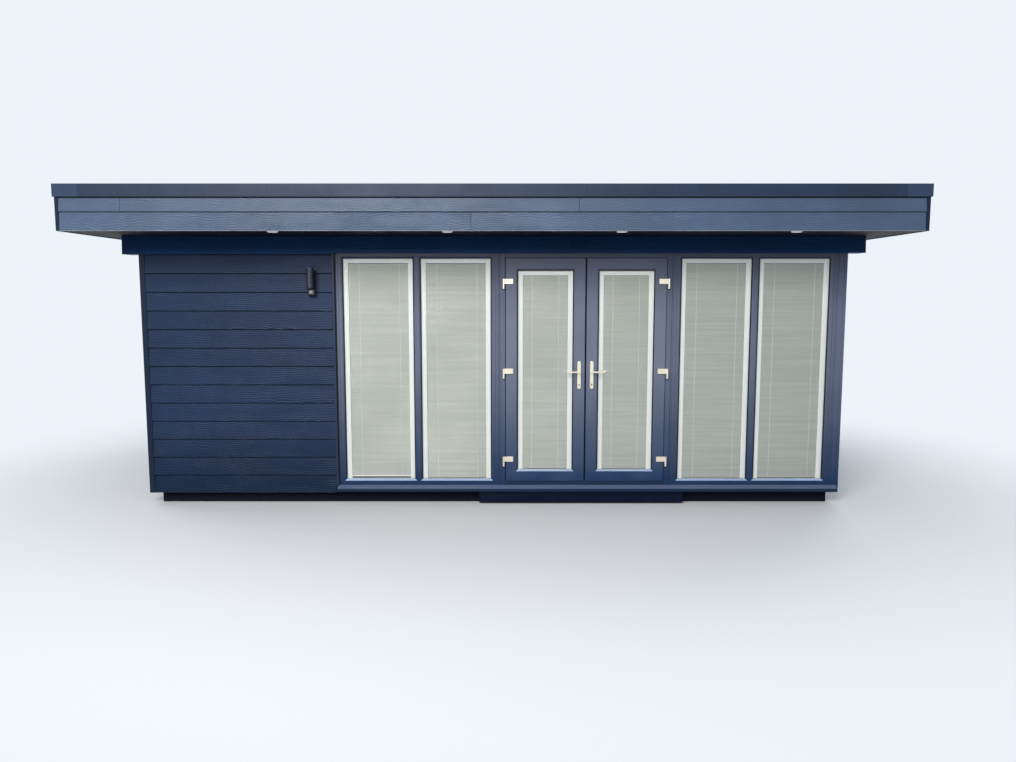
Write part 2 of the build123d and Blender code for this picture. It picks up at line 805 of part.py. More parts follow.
    # Lever on both faces, joined by the spindle: a bar that runs level and then curls up
    with BuildPart() as door_lever:
        with BuildSketch(Plane.XZ.offset(-y_sash - sash_t - plate_t)):
            with Locations((x_spindle, spindle_z)):
                Rectangle(spindle_w, spindle_w)
        extrude(amount=sash_t + 2 * plate_t)
        for y_neck, y_way in ((y_sash, 1), (y_sash_back, -1)):
            with BuildSketch(Plane.XZ.offset(-y_neck)):
                with Locations((x_spindle, spindle_z)):
                    Circle(neck_r)
            extrude(amount=y_way * (neck_l + lever_t))
            y_bar = y_neck - y_way * (neck_l + lever_t / 2)
            x_curl = x_spindle - way * lever_run
            turn = radians(lever_turn)
            half = turn / 2
            with BuildLine() as bar_path:
                Line((x_spindle, y_bar, spindle_z), (x_curl, y_bar, spindle_z))
                ThreePointArc(
                    (x_curl, y_bar, spindle_z),
                    (x_curl - way * lever_curl * sin(half), y_bar, spindle_z + lever_curl * (1 - cos(half))),
                    (x_curl - way * lever_curl * sin(turn), y_bar, spindle_z + lever_curl * (1 - cos(turn))),
                )
            with BuildSketch(Plane(origin=(x_spindle, y_bar, spindle_z), x_dir=(0, 1, 0), z_dir=(-way, 0, 0))):
                Ellipse(lever_t / 2, lever_w / 2)
            sweep(path=bar_path.wires()[0])
    save(door_lever, f"{name}_door_lever")
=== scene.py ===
import bmesh
import bpy
import math
import random
from mathutils import Matrix, Vector


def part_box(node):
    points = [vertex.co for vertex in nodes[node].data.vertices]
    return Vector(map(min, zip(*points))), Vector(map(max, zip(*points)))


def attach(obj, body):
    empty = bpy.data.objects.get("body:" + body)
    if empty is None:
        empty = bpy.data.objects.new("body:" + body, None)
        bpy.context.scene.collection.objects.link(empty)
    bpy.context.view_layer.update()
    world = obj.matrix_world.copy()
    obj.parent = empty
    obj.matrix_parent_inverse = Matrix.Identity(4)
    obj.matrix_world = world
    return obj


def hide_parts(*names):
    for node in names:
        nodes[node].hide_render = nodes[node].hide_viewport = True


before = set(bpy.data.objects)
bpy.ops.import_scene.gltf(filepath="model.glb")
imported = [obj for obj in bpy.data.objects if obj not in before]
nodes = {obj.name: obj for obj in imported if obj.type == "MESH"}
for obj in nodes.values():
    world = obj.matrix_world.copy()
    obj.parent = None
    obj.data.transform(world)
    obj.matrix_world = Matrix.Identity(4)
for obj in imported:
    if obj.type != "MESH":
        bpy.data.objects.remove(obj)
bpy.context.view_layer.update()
print("frame loaded:", len(nodes), "nodes")


def newObject(name, data):
    made = bpy.data.objects.new(name, data)
    bpy.context.scene.collection.objects.link(made)
    return made


# camera first, matched to the photo (1016 x 762)
view = {"place": (0.121, -8.50, 1.855), "pitch": -6.24, "lens": 28.665, "sensor": 36.0}
camera = newObject("camera", bpy.data.cameras.new("camera"))
camera.data.sensor_width = view["sensor"]
camera.data.sensor_fit = "HORIZONTAL"
camera.data.lens = view["lens"]
camera.location = view["place"]
camera.rotation_euler = (math.radians(90 + view["pitch"]), 0, 0)
bpy.context.scene.camera = camera


# ---- node helpers

def feed(socket, value):
    if isinstance(value, bpy.types.NodeSocket):
        socket.id_data.links.new(value, socket)
    else:
        socket.default_value = value + (1,) if socket.type == "RGBA" else value


def wire(node, **values):
    for key, value in values.items():
        feed(node.inputs[key.replace("_", " ")], value)
    return node


def put(tree, kind, settings=None, **values):
    node = tree.nodes.new("ShaderNode" + kind)
    for key, value in (settings or {}).items():
        setattr(node, key, value)
    return wire(node, **values)


# the tree that the first socket among these values stands in
def treeOf(*values):
    return next(value.id_data for value in values if isinstance(value, bpy.types.NodeSocket))


def calc(operation, *values, clamp=False):
    node = put(treeOf(*values), "Math", {"operation": operation, "use_clamp": clamp})
    for socket, value in zip(node.inputs, values):
        feed(socket, value)
    return node.outputs[0]


def blendColors(factor, first, second, way="MIX"):
    node = put(treeOf(factor, first, second), "Mix", {"data_type": "RGBA", "blend_type": way})
    for number, value in ((0, factor), (6, first), (7, second)):
        feed(node.inputs[number], value)
    return node.outputs[2]


def spread(value, low, high, toLow=0.0, toHigh=1.0):
    limits = {"From_Min": low, "From_Max": high, "To_Min": toLow, "To_Max": toHigh}
    return put(value.id_data, "MapRange", Value=value, **limits).outputs[0]


def noise(place, scale, detail=2.0, rough=0.5):
    settings = {"Scale": scale, "Detail": detail, "Roughness": rough}
    return put(place.id_data, "TexNoise", Vector=place, **settings).outputs[0]


# noise stretched along the axes: size is how many waves there are in a metre of each
def streaks(place, size, detail=2.0, rough=0.5):
    return noise(put(place.id_data, "Mapping", Vector=place, Scale=size).outputs[0], 1.0, detail, rough)


def axes(place):
    return tuple(put(place.id_data, "SeparateXYZ", Vector=place).outputs)


def newGroup(name, inputs, outputs):
    group = bpy.data.node_groups.new(name, "ShaderNodeTree")
    for label, kind, value in inputs:
        socket = group.interface.new_socket(name=label, in_out="INPUT", socket_type="NodeSocket" + kind)
        socket.default_value = value
    for label, kind in outputs:
        group.interface.new_socket(name=label, in_out="OUTPUT", socket_type="NodeSocket" + kind)
    return group, group.nodes.new("NodeGroupInput").outputs, group.nodes.new("NodeGroupOutput").inputs


def newMaterial(name):
    material = bpy.data.materials.new(name)
    material.use_nodes = True
    tree = material.node_tree
    return material, tree.nodes["Principled BSDF"], put(tree, "TexCoord").outputs["Object"]


def useGroup(group, place, **values):
    return put(place.id_data, "Group", {"node_tree": group}, **values).outputs


def addBump(shader, height, depth, strength=1.0):
    bump = put(shader.id_data, "Bump", Height=height, Distance=depth, Strength=strength)
    feed(shader.inputs["Normal"], bump.outputs[0])


def mixSurface(tree, factor, first, second, output):
    mixer = put(tree, "MixShader")
    for socket, value in zip(mixer.inputs, (factor, first.outputs[0], second.outputs[0])):
        feed(socket, value)
    feed(tree.nodes[output].inputs["Surface"], mixer.outputs[0])


# 1 for rays that show a surface as it is, 0 for those that only carry its light
def seenDirectly(tree):
    paths = put(tree, "LightPath").outputs
    either = calc("MAXIMUM", paths["Is Camera Ray"], paths["Is Glossy Ray"])
    return calc("MAXIMUM", either, paths["Is Transmission Ray"])


# ---- shared effects

# embossed cedar grain: wavy lines that run along the board, drawn from (along, across, seed)
def makeGrainEmboss():
    tree, given, made = newGroup(
        "grainEmboss",
        [("Grain", "Vector", (0, 0, 0)), ("Pitch", "Float", 0.016), ("Swing", "Float", 3.0)],
        [("Height", "Float"), ("Ridge", "Float")],
    )
    grain = given["Grain"]
    wander = streaks(grain, (8.0, 6.5, 9.7), 1.5)
    drift = streaks(grain, (1.1, 5.0, 3.1), 1.0)
    phase = calc("DIVIDE", axes(grain)[1], given["Pitch"])
    swing = calc("MULTIPLY", given["Swing"], 2.0)
    phase = calc("MULTIPLY_ADD", calc("SUBTRACT", wander, 0.5), swing, phase)
    phase = calc("MULTIPLY_ADD", drift, 6.0, phase)
    wave = calc("SINE", calc("MULTIPLY", phase, 2 * math.pi))
    ridge = calc("POWER", calc("MULTIPLY_ADD", wave, 0.5, 0.5), 2.2)
    fade = spread(streaks(grain, (2.3, 9.0, 5.3), 1.0), 0.36, 0.62, 0.25, 1.0)
    ridge = calc("MULTIPLY", ridge, fade)
    fibre = streaks(grain, (28.0, 520.0, 11.0), 1.0)
    feed(made["Height"], calc("MULTIPLY_ADD", fibre, 0.22, calc("MULTIPLY", ridge, 0.78)))
    feed(made["Ridge"], ridge)
    return tree


# weather: soft patches of tone, rain streaks and pale dust that gathers low down
def makeWeather():
    tree, given, made = newGroup(
        "weather",
        [
            ("Place", "Vector", (0, 0, 0)), ("Paint", "Color", (0.1, 0.1, 0.1, 1)),
            ("Patches", "Float", 0.15), ("Dust", "Float", 0.2), ("Foot", "Float", 0.5),
            ("Dust Color", "Color", (0.30, 0.27, 0.22, 1)),
        ],
        [("Color", "Color"), ("Mask", "Float")],
    )
    place = given["Place"]
    cloud = noise(place, 1.9, 3.0, 0.6)
    speck = noise(place, 46.0, 3.0, 0.65)
    streak = streaks(place, (7.0, 7.0, 0.55), 2.0, 0.6)
    tone = calc("MULTIPLY_ADD", calc("SUBTRACT", cloud, 0.5), 2.4, 1.0)
    tone = calc("MULTIPLY_ADD", calc("SUBTRACT", speck, 0.5), 0.5, tone)
    tone = calc("MULTIPLY_ADD", calc("SUBTRACT", tone, 1.0), given["Patches"], 1.0)
    grey = put(tree, "CombineColor", Red=tone, Green=tone, Blue=tone).outputs[0]
    painted = blendColors(1.0, given["Paint"], grey, "MULTIPLY")
    low = calc("SUBTRACT", 1.0, calc("DIVIDE", axes(place)[2], given["Foot"]), clamp=True)
    low = calc("MULTIPLY", calc("MULTIPLY", low, low), spread(speck, 0.35, 0.7))
    filmAndLitTop = calc("MULTIPLY", spread(streak, 0.52, 0.78), spread(speck, 0.3, 0.75, 0.1, 0.45))
    dusty = calc("MULTIPLY", calc("ADD", low, filmAndLitTop, clamp=True), given["Dust"], clamp=True)
    feed(made["Color"], blendColors(dusty, painted, given["Dust Color"]))
    feed(made["Mask"], dusty)
    return tree


grainEmboss, weather = makeGrainEmboss(), makeWeather()
print("effects made")


# ---- finishes

def soil(place, paint, patches, dust, foot, dirt):
    return useGroup(weather, place, Place=place, Paint=paint, Patches=patches, Dust=dust, Foot=foot, Dust_Color=dirt)


def scaled(color, *shares):
    return tuple(channel * share for channel, share in zip(color, shares))


def boardPaint(
    name, base, fromBoards, bumpDepth=0.0022, spec=0.3, lapShade=0.0, swing=1.5, pitch=0.016,
    footShade=0.0, reach=1.30, lift=0.012, dust=0.16,
):
    material, shader, place = newMaterial(name)
    tree = place.id_data
    if fromBoards:
        grain = put(tree, "Attribute", {"attribute_name": "grain"}).outputs["Vector"]
    else:
        spot = axes(place)
        grain = put(tree, "CombineXYZ", X=spot[0], Y=spot[2], Z=spot[1]).outputs[0]
    emboss = useGroup(grainEmboss, place, Grain=grain, Swing=swing, Pitch=pitch)
    across, seed = axes(grain)[1:]
    lot = put(tree, "TexWhiteNoise", {"noise_dimensions": "1D"}, W=seed).outputs[0]
    force = spread(seed, 54.0, 56.0, 1.0, 0.38) if fromBoards else 1.0  # seeds above 55 are calmer boards
    soiled = soil(place, base, 0.30, dust, 0.55, (0.13, 0.135, 0.15))
    shade = blendColors(spread(lot, 0.0, 1.0, 0.0, 0.13), soiled["Color"], (0.0, 0.0, 0.0))
    # painted highlight: the grain's ridges are paler
    ridgeHighlight = calc("MULTIPLY", calc("MULTIPLY", emboss["Ridge"], 0.34), force)
    shade = blendColors(ridgeHighlight, shade, tuple(min(1.0, channel * 1.9 + lift) for channel in base))
    if footShade:
        # painted shade: darker towards the foot, up to reach
        rise = calc("MULTIPLY_ADD", noise(place, 2.6, 3.0, 0.6), 0.5, axes(place)[2])
        shade = blendColors(spread(rise, 0.34, reach, footShade, 0.0), shade, (0.0012, 0.011, 0.036))
    rough = calc("MULTIPLY_ADD", soiled["Mask"], 0.30, spread(emboss["Ridge"], 0.0, 1.0, 0.46, 0.38))
    if lapShade:  # painted shade: darker in the corner under the board above, where across comes up to 0
        grimeAndShade = spread(across, -2.2 * lapShade, -lapShade, 0.0, 0.92)
        shade = blendColors(grimeAndShade, shade, (0.0015, 0.003, 0.007))
        rough = calc("MULTIPLY_ADD", grimeAndShade, 0.4, rough)
    wire(shader, Base_Color=shade, Roughness=rough, Specular_IOR_Level=spec)
    addBump(shader, calc("MULTIPLY", emboss["Height"], force), bumpDepth)
    return material


def satinPaint(
    name, base, rough, metal=0.0, patches=0.2, dust=0.2, foot=0.5, skin=0.00015, skinScale=420.0, spec=0.5,
    dirt=(0.20, 0.195, 0.19), glow=0.0,
):
    material, shader, place = newMaterial(name)
    soiled = soil(place, base, patches, dust, foot, dirt)
    gloss = spread(noise(place, 5.5, 3.0, 0.6), 0.3, 0.7, rough - 0.05, rough + 0.07)
    gloss = calc("MULTIPLY_ADD", soiled["Mask"], 0.3, gloss)
    wire(shader, Base_Color=soiled["Color"], Roughness=gloss, Metallic=metal, Specular_IOR_Level=spec)
    if glow:
        wire(shader, Emission_Color=base, Emission_Strength=glow)
    addBump(shader, noise(place, skinScale), skin, 0.7)
    return material


# woodgrain foil on plastic profiles: fine lines along the profile, dirt streaks and painted shade that darkens it
# towards the foot and under the eaves, and painted light that makes sloping and top faces paler
def foilFinish(name, base, lines, spec=0.24, dust=0.30, foot=0.62, footShade=0.0, eavesShade=0.0, filmAndLitTop=None):
    material, shader, place = newMaterial(name)
    dirtAndFootShade = scaled(base, 0.03, 0.17, 0.39)
    soiled = soil(place, base, 0.16, dust, foot, dirtAndFootShade)
    grain = streaks(place, lines, 2.0, 0.6)
    fine = spread(grain, 0.35, 0.65, 0.0, 0.10)
    toned = blendColors(fine, soiled["Color"], scaled(base, 0.55, 0.55, 0.55))
    if footShade:
        rise = calc("MULTIPLY_ADD", noise(place, 3.4, 3.0, 0.6), 0.4, axes(place)[2])
        # painted shade: darker towards the foot
        toned = blendColors(spread(rise, 0.38, 1.42, footShade, 0.0), toned, dirtAndFootShade)
        # painted shade: darker under the eaves
        toned = blendColors(spread(rise, 1.84, 2.26, 0.0, eavesShade), toned, scaled(base, 0.13, 0.20, 0.28))
    if filmAndLitTop:
        # painted light: faces that look up are paler
        facing = axes(put(place.id_data, "NewGeometry").outputs["Normal"])[2]
        toned = blendColors(spread(facing, 0.6, 0.86, 0.0, 0.92), toned, filmAndLitTop)
    rough = spread(streaks(place, (3.0, 3.0, 0.9), 3.0, 0.6), 0.3, 0.7, 0.32, 0.44)
    rough = calc("MULTIPLY_ADD", soiled["Mask"], 0.2, rough)
    wire(shader, Base_Color=toned, Roughness=rough, Specular_IOR_Level=spec)
    addBump(shader, grain, 0.00012, 0.6)
    return material


# anodised tube, brushed round its girth, so that its gleam runs down it
def tubeFinish(name, dark, pale):
    material, shader, place = newMaterial(name)
    brush = streaks(place, (30.0, 30.0, 900.0))
    soiled = soil(place, dark, 0.3, 0.1, 0.5, (0.12, 0.13, 0.15))
    color = blendColors(spread(brush, 0.35, 0.65, 0.0, 0.4), soiled["Color"], pale)
    wire(shader, Base_Color=color, Roughness=spread(brush, 0.3, 0.7, 0.30, 0.42), Metallic=0.9)
    addBump(shader, brush, 0.0004, 0.8)
    return material


# soffit boards: painted shade makes them near black over the front, painted light browner on the runs past the side
# walls
def soffitFinish(name, front, ends, wallEnd):
    material, shader, place = newMaterial(name)
    soiled = soil(place, front, 0.35, 0.1, 0.1, (0.05, 0.05, 0.055))
    outward = calc("ABSOLUTE", axes(place)[0])
    outward = calc("MULTIPLY_ADD", noise(place, 4.0), 0.12, outward)
    # painted light on the runs past the side walls
    toned = blendColors(spread(outward, wallEnd, wallEnd + 0.16), soiled["Color"], ends)
    rough = spread(noise(place, 9.0), 0.3, 0.7, 0.58, 0.70)
    wire(shader, Base_Color=toned, Roughness=rough, Specular_IOR_Level=0.2)
    addBump(shader, noise(place, 160.0), 0.0004, 0.7)
    return material


def timberFinish(name, dark, pale, rough, size=(1.5, 40.0, 40.0)):
    material, shader, place = newMaterial(name)
    rings = streaks(place, size, 4.0, 0.6)
    color = blendColors(spread(rings, 0.3, 0.7), dark, pale)
    color = blendColors(spread(noise(place, 3.0), 0.55, 0.8, 0.0, 0.35), color, dark)
    rough = spread(rings, 0.0, 1.0, rough - 0.08, rough + 0.08)
    wire(shader, Base_Color=color, Roughness=rough, Specular_IOR_Level=0.15)
    addBump(shader, rings, 0.0010, 0.6)
    return material


def floorFinish():
    material, shader, place = newMaterial("laidFloor")
    planks = put(
        place.id_data, "TexBrick", {"offset": 0.37, "squash": 1.0}, Vector=place, Scale=1.0,
        Color1=(0.44, 0.32, 0.21), Color2=(0.34, 0.24, 0.15), Mortar=(0.09, 0.06, 0.04),
        Mortar_Size=0.0012, Brick_Width=1.2, Row_Height=0.19,
    ).outputs
    rings = streaks(place, (2.0, 38.0, 1.0), 4.0, 0.6)
    color = blendColors(spread(rings, 0.35, 0.7, 0.0, 0.5), planks[0], (0.24, 0.16, 0.10))
    wire(shader, Base_Color=color, Roughness=spread(rings, 0.0, 1.0, 0.40, 0.55))
    addBump(shader, calc("MULTIPLY_ADD", planks[1], -0.6, rings), 0.0008, 0.6)
    return material


def slatFinish():
    material, shader, place = newMaterial("slatEnamel")
    tint = streaks(place, (1.3, 1.0, 60.0))
    cloud = noise(place, 2.4)
    color = blendColors(spread(tint, 0.3, 0.7), (0.355, 0.365, 0.330), (0.435, 0.445, 0.405))
    color = blendColors(spread(cloud, 0.35, 0.75, 0.0, 0.35), color, (0.33, 0.34, 0.305))
    wire(shader, Base_Color=color, Roughness=spread(cloud, 0.3, 0.7, 0.38, 0.52))
    return material


def brassFinish():
    material, shader, place = newMaterial("paleBrass")
    rub = streaks(place, (40.0, 40.0, 160.0), 3.0, 0.6)
    bloom = spread(noise(place, 14.0), 0.3, 0.8)
    color = blendColors(bloom, (0.92, 0.85, 0.70), (0.84, 0.73, 0.54))
    wire(shader, Base_Color=color, Roughness=spread(rub, 0.3, 0.7, 0.26, 0.36), Metallic=0.75)
    addBump(shader, rub, 0.00003, 0.4)
    return material


# clear to the light that falls through it, so that the blinds behind are lit
def glassFinish(name, tint):
    material, shader, place = newMaterial(name)
    grimeAndShade = noise(place, 3.2, 4.0, 0.65)
    color = blendColors(spread(grimeAndShade, 0.4, 0.8, 0.0, 0.25), tint, (0.90, 0.90, 0.87))
    rough = spread(grimeAndShade, 0.45, 0.85, 0.0, 0.06)
    wire(shader, Base_Color=color, Roughness=rough, Transmission_Weight=1.0, IOR=1.5)
    tree = place.id_data
    clear = put(tree, "BsdfTransparent", Color=tint)
    paths = put(tree, "LightPath").outputs
    passing = calc("MAXIMUM", paths["Is Shadow Ray"], paths["Is Diffuse Ray"])
    mixSurface(tree, passing, shader, clear, "Material Output")
    return material


upright, level = (700.0, 700.0, 14.0), (14.0, 700.0, 700.0)  # how foil grain runs
roofDirt = (0.13, 0.14, 0.16)
finish = {
    "cladding": boardPaint(
        "paintedBoards", (0.0125, 0.0265, 0.067), True, bumpDepth=0.0020, spec=0.15, lapShade=0.0052, swing=1.1,
        footShade=0.92, reach=0.95, dust=0.08,
    ),
    # painted shade: the header course takes a darker, bluer copy of the cladding paint
    "header": boardPaint(
        "headerShadedPaint", (0.003, 0.035, 0.122), True, bumpDepth=0.0018, spec=0.15, lapShade=0.0042, swing=0.8,
    ),
    # painted light: the fascia takes a paler copy of the cladding paint
    "fascia": boardPaint(
        "fasciaLitPaint", (0.059, 0.090, 0.156), True, bumpDepth=0.0032, spec=0.35, lapShade=0.0040, swing=1.9, pitch=0.0175,
    ),
    # painted shade: the step board takes a near black copy of the board paint
    "step": boardPaint("shadedStepPaint", (0.0010, 0.005, 0.020), False, spec=0.08, lift=0.003, dust=0.02),
    "foil": foilFinish("windowFoil", (0.122, 0.146, 0.216), upright, footShade=0.96, eavesShade=0.52),
    # painted reflection: the door leaves take a paler copy of the frames' foil
    "leafFoilWithReflection": foilFinish("doorFoilWithReflection", (0.160, 0.184, 0.254), upright, footShade=0.96, eavesShade=0.48),
    # painted shade: the sill and threshold take a deep navy copy of the frames' foil
    "shadedSillFoil": foilFinish(
        "shadedSillFoil", (0.004, 0.017, 0.052), level, spec=0.25, dust=0.2, foot=0.4, filmAndLitTop=(0.092, 0.125, 0.210),
    ),
    "trim": satinPaint("cornerTrim", (0.006, 0.015, 0.036), 0.46, dust=0.1, spec=0.18, dirt=(0.10, 0.11, 0.14)),
    "edge": satinPaint("roofTrim", (0.016, 0.029, 0.064), 0.42, patches=0.35, foot=0.1, spec=0.24, dirt=roofDirt),
    "edgeCorner": satinPaint(
        "roofTrimCorner", (0.026, 0.043, 0.088), 0.42, patches=0.3, foot=0.1, spec=0.24, dirt=roofDirt,
    ),
    # painted highlight along the fascia's lower edge
    "edgeHighlight": satinPaint("fasciaEdgeHighlight", (0.17, 0.20, 0.27), 0.45, patches=0.4, dust=0.3),
    # painted reflection on the sloping beads under the panes
    "bevel": satinPaint("bevelReflection", (0.29, 0.37, 0.52), 0.30, patches=0.25, dust=0.15, foot=0.1),
    "rubberAndShade": satinPaint("gasketRubberAndShade", (0.008, 0.008, 0.010), 0.62, patches=0.4, dust=0.08, spec=0.25),
    "black": satinPaint("blackStrip", (0.004, 0.004, 0.005), 0.7, patches=0.4, dust=0.05, spec=0.15),
    "soffit": soffitFinish("soffitShadeAndLight", (0.0025, 0.006, 0.016), (0.020, 0.017, 0.0145), 2.98),
    "white": satinPaint("blindWhite", (0.88, 0.88, 0.86), 0.38, patches=0.05, dust=0.05),
    "slat": slatFinish(),
    "cord": satinPaint("ladderCord", (0.82, 0.82, 0.79), 0.8, patches=0.1, dust=0.05, spec=0.2),
    "brass": brassFinish(),
    "keyway": satinPaint("keyway", (0.02, 0.018, 0.015), 0.5, metal=0.6),
    "lamp": satinPaint("lampBody", (0.010, 0.014, 0.020), 0.36, patches=0.3, dust=0.15, skin=0.0003, spec=0.3),
    "tube": tubeFinish("lampTube", (0.026, 0.034, 0.044), (0.085, 0.100, 0.125)),
    "lampLens": satinPaint("frostedLens", (0.82, 0.83, 0.82), 0.55, patches=0.06, dust=0.05),
    "spotLens": satinPaint("spotLens", (0.90, 0.90, 0.87), 0.50, patches=0.05, dust=0.05, glow=0.5),
    "dome": satinPaint("sensorDome", (0.34, 0.36, 0.37), 0.12, dust=0.1, skin=0.0),
    # painted light: the white rims glow a little, for the light they catch from below
    "lampWhite": satinPaint("spotRimGlow", (0.88, 0.88, 0.87), 0.30, patches=0.05, dust=0.05, glow=0.35),
    "membrane": satinPaint(
        "roofMembrane", (0.034, 0.035, 0.038), 0.76, patches=0.8, dust=0.25, foot=60.0, skin=0.0002, skinScale=24.0,
        spec=0.25,
    ),
    "seam": satinPaint(
        "seamTape", (0.056, 0.057, 0.060), 0.66, patches=0.4, foot=60.0, skin=0.0002, skinScale=60.0, spec=0.25,
    ),
    "sawn": timberFinish("sawnTimber", (0.30, 0.21, 0.12), (0.50, 0.38, 0.24), 0.75),
    "kerb": timberFinish("kerbTimber", (0.010, 0.009, 0.008), (0.026, 0.022, 0.019), 0.85),
    # painted shade: the base timbers are near black navy
    "ground": timberFinish("shadedBaseTimber", (0.0025, 0.004, 0.012), (0.008, 0.010, 0.020), 0.88),
    "lining": satinPaint("wallLining", (0.78, 0.77, 0.74), 0.62, patches=0.06, dust=0.05, foot=0.2, skin=0.0002),
    "floor": floorFinish(),
    "glass": glassFinish("clearGlass", (0.955, 0.970, 0.962)),
}
print("finishes made:", len(finish))


# ---- mesh helpers

hair = 0.0001  # gap that keeps two faces from lying in one plane
moveBy = Matrix.Translation


def roundEdges(bm, edges, width, segments=2):
    bmesh.ops.bevel(
        bm, geom=edges, offset=width, offset_type="OFFSET", affect="EDGES", segments=segments, profile=0.5, material=-1,
    )


def softBox(size, soften=0.0, segments=2):
    bm = bmesh.new()
    bmesh.ops.create_cube(bm, size=1)
    bmesh.ops.scale(bm, vec=size, verts=bm.verts)
    if soften:
        roundEdges(bm, bm.edges[:], soften, segments)
    return bm


def dropInto(target, part, matrix):
    part.transform(matrix)
    scratch = bpy.data.meshes.new("scratch")
    part.to_mesh(scratch)
    part.free()
    target.from_mesh(scratch)
    bpy.data.meshes.remove(scratch)


def spanBox(target, low, high, soften=0.0, segments=2):
    low, high = Vector(low), Vector(high)
    dropInto(target, softBox(high - low, soften, segments), moveBy((low + high) / 2))


# four bars round a rectangle, each from out beyond its edge to deep inside it; ends shortens
# the bars that run along x, then those that run along y
def fourBars(target, low, high, out, deep, ends, heights, soften=0.0, segments=2):
    (zA, zB), (endX, endY) = heights, ends
    for yA, yB in ((low.y - out, low.y + deep), (high.y - deep, high.y + out)):
        spanBox(target, (low.x + endX, yA, zA), (high.x - endX, yB, zB), soften, segments)
    for xA, xB in ((low.x - out, low.x + deep), (high.x - deep, high.x + out)):
        spanBox(target, (xA, low.y + endY, zA), (xB, high.y - endY, zB), soften, segments)


def newFace(bm, points):
    return bm.faces.new([bm.verts.new(point) for point in points])


def pushOut(bm, faces, vec):
    moved = bmesh.ops.extrude_face_region(bm, geom=faces)["geom"]
    bmesh.ops.translate(bm, vec=vec, verts=[item for item in moved if isinstance(item, bmesh.types.BMVert)])


def discShape(radius, depth, soften=0.0, sides=32):
    bm = bmesh.new()
    bmesh.ops.create_cone(bm, cap_ends=True, segments=sides, radius1=radius, radius2=radius, depth=depth)
    if soften:
        roundEdges(bm, [edge for edge in bm.edges if abs(edge.verts[0].co.z - edge.verts[1].co.z) < 1e-7], soften)
    return bm


# a rectangular ring lying in the XZ plane: y is its front, and it runs back by depth
def addRing(target, middle, size, band, y, depth, soften):
    bm = bmesh.new()
    corners = [(-1, -1), (1, -1), (1, 1), (-1, 1)]
    face = newFace(bm, [(middle[0] + a * size[0] / 2, y, middle[1] + b * size[1] / 2) for a, b in corners])
    ring = bmesh.ops.inset_region(bm, faces=[face], thickness=band, use_even_offset=True)["faces"]
    bmesh.ops.delete(bm, geom=[face], context="FACES")
    pushOut(bm, ring, (0, depth, 0))
    front = [edge for edge in bm.edges if all(abs(v.co.y - y) < 1e-7 for v in edge.verts) and len(edge.link_faces) == 2]
    sharp = [edge for edge in front if abs(edge.link_faces[0].normal.dot(edge.link_faces[1].normal)) < 0.5]
    roundEdges(bm, sharp, soften)
    dropInto(target, bm, Matrix.Identity(4))


def addPiece(bm, name, look, stands=(), body="building", soft=True):
    bmesh.ops.recalc_face_normals(bm, faces=bm.faces[:])
    mesh = bpy.data.meshes.new(name)
    bm.to_mesh(mesh)
    bm.free()
    mesh.materials.append(finish[look])
    piece = newObject(name, mesh)
    if soft:
        mesh.shade_smooth()
        piece.modifiers.new("evenNormals", "WEIGHTED_NORMAL").keep_sharp = True
    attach(piece, body)
    if stands:
        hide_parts(*stands)


# ---- lapped boards

wallBoards = {
    "thick": 0.0088, "lip": 0.020, "thin": 0.011, "lap": 0.014, "soften": 0.0012, "buttGap": 0.0015,
    "course": 0.160, "frontCourses": 13, "courses": 14, "length": 3.6, "thirdJoint": 2.98, "seed": 7,
    "offFrame": 0.009,
}
fasciaBoards = {
    "thick": 0.0120, "lip": 0.022, "thin": 0.013, "lap": 0.014, "soften": 0.0014, "buttGap": 0.0020,
    "courses": [0.150, 0.114], "calmFrom": 1,
    "frontJoints": ([-0.17], [-2.92, 0.68]), "backJoints": [[3.6], [2.4, 6.0]], "sideJoints": [[3.0], [1.1]],
}
dice = random.Random(wallBoards["seed"])


def addBoard(target, start, along, out, length, exposure, kind, lapped, calm=False):
    height = exposure + (kind["lap"] if lapped else 0.0)
    board = softBox((length, kind["thick"], height), kind["soften"])
    layer = board.verts.layers.float_vector.new("grain")
    slide, seed = dice.uniform(0, 40), dice.uniform(0, 50) + (60 if calm else 0)
    for vert in board.verts:  # across is 0 under the next board's lower edge
        vert[layer] = (vert.co.x + slide, vert.co.z + height / 2 - exposure, seed)
    bmesh.ops.translate(board, vec=(length / 2, -kind["thick"] / 2, height / 2), verts=board.verts)
    lean = math.atan2(kind["lip"] - kind["thin"], exposure)
    along, out = Vector(along), Vector(out)
    turn = Matrix((along, out, Vector((0, 0, 1)))).transposed().to_4x4()
    place = moveBy(Vector(start) + out * (kind["lip"] + dice.uniform(-0.0003, 0.0)))
    dropInto(target, board, place @ turn @ Matrix.Rotation(lean, 4, "X"))


def boardWall(target, start, along, out, length, courses, kind, joints=()):
    start, along = Vector(start), Vector(along)
    rise = 0.0
    for number, exposure in enumerate(courses):
        stops = [0.0] + sorted(joints[number % len(joints)] if joints else []) + [length]
        for a, b in zip(stops[:-1], stops[1:]):
            gapA = kind["buttGap"] / 2 if a > 0 else 0.0
            gapB = kind["buttGap"] / 2 if b < length else 0.0
            at = start + along * (a + gapA) + Vector((0, 0, rise))
            lapped, calm = number < len(courses) - 1, number >= kind.get("calmFrom", len(courses))
            addBoard(target, at, along, out, b - a - gapA - gapB, exposure, kind, lapped, calm)
        rise += exposure


def boardMesh():
    bm = bmesh.new()
    bm.verts.layers.float_vector.new("grain")
    return bm


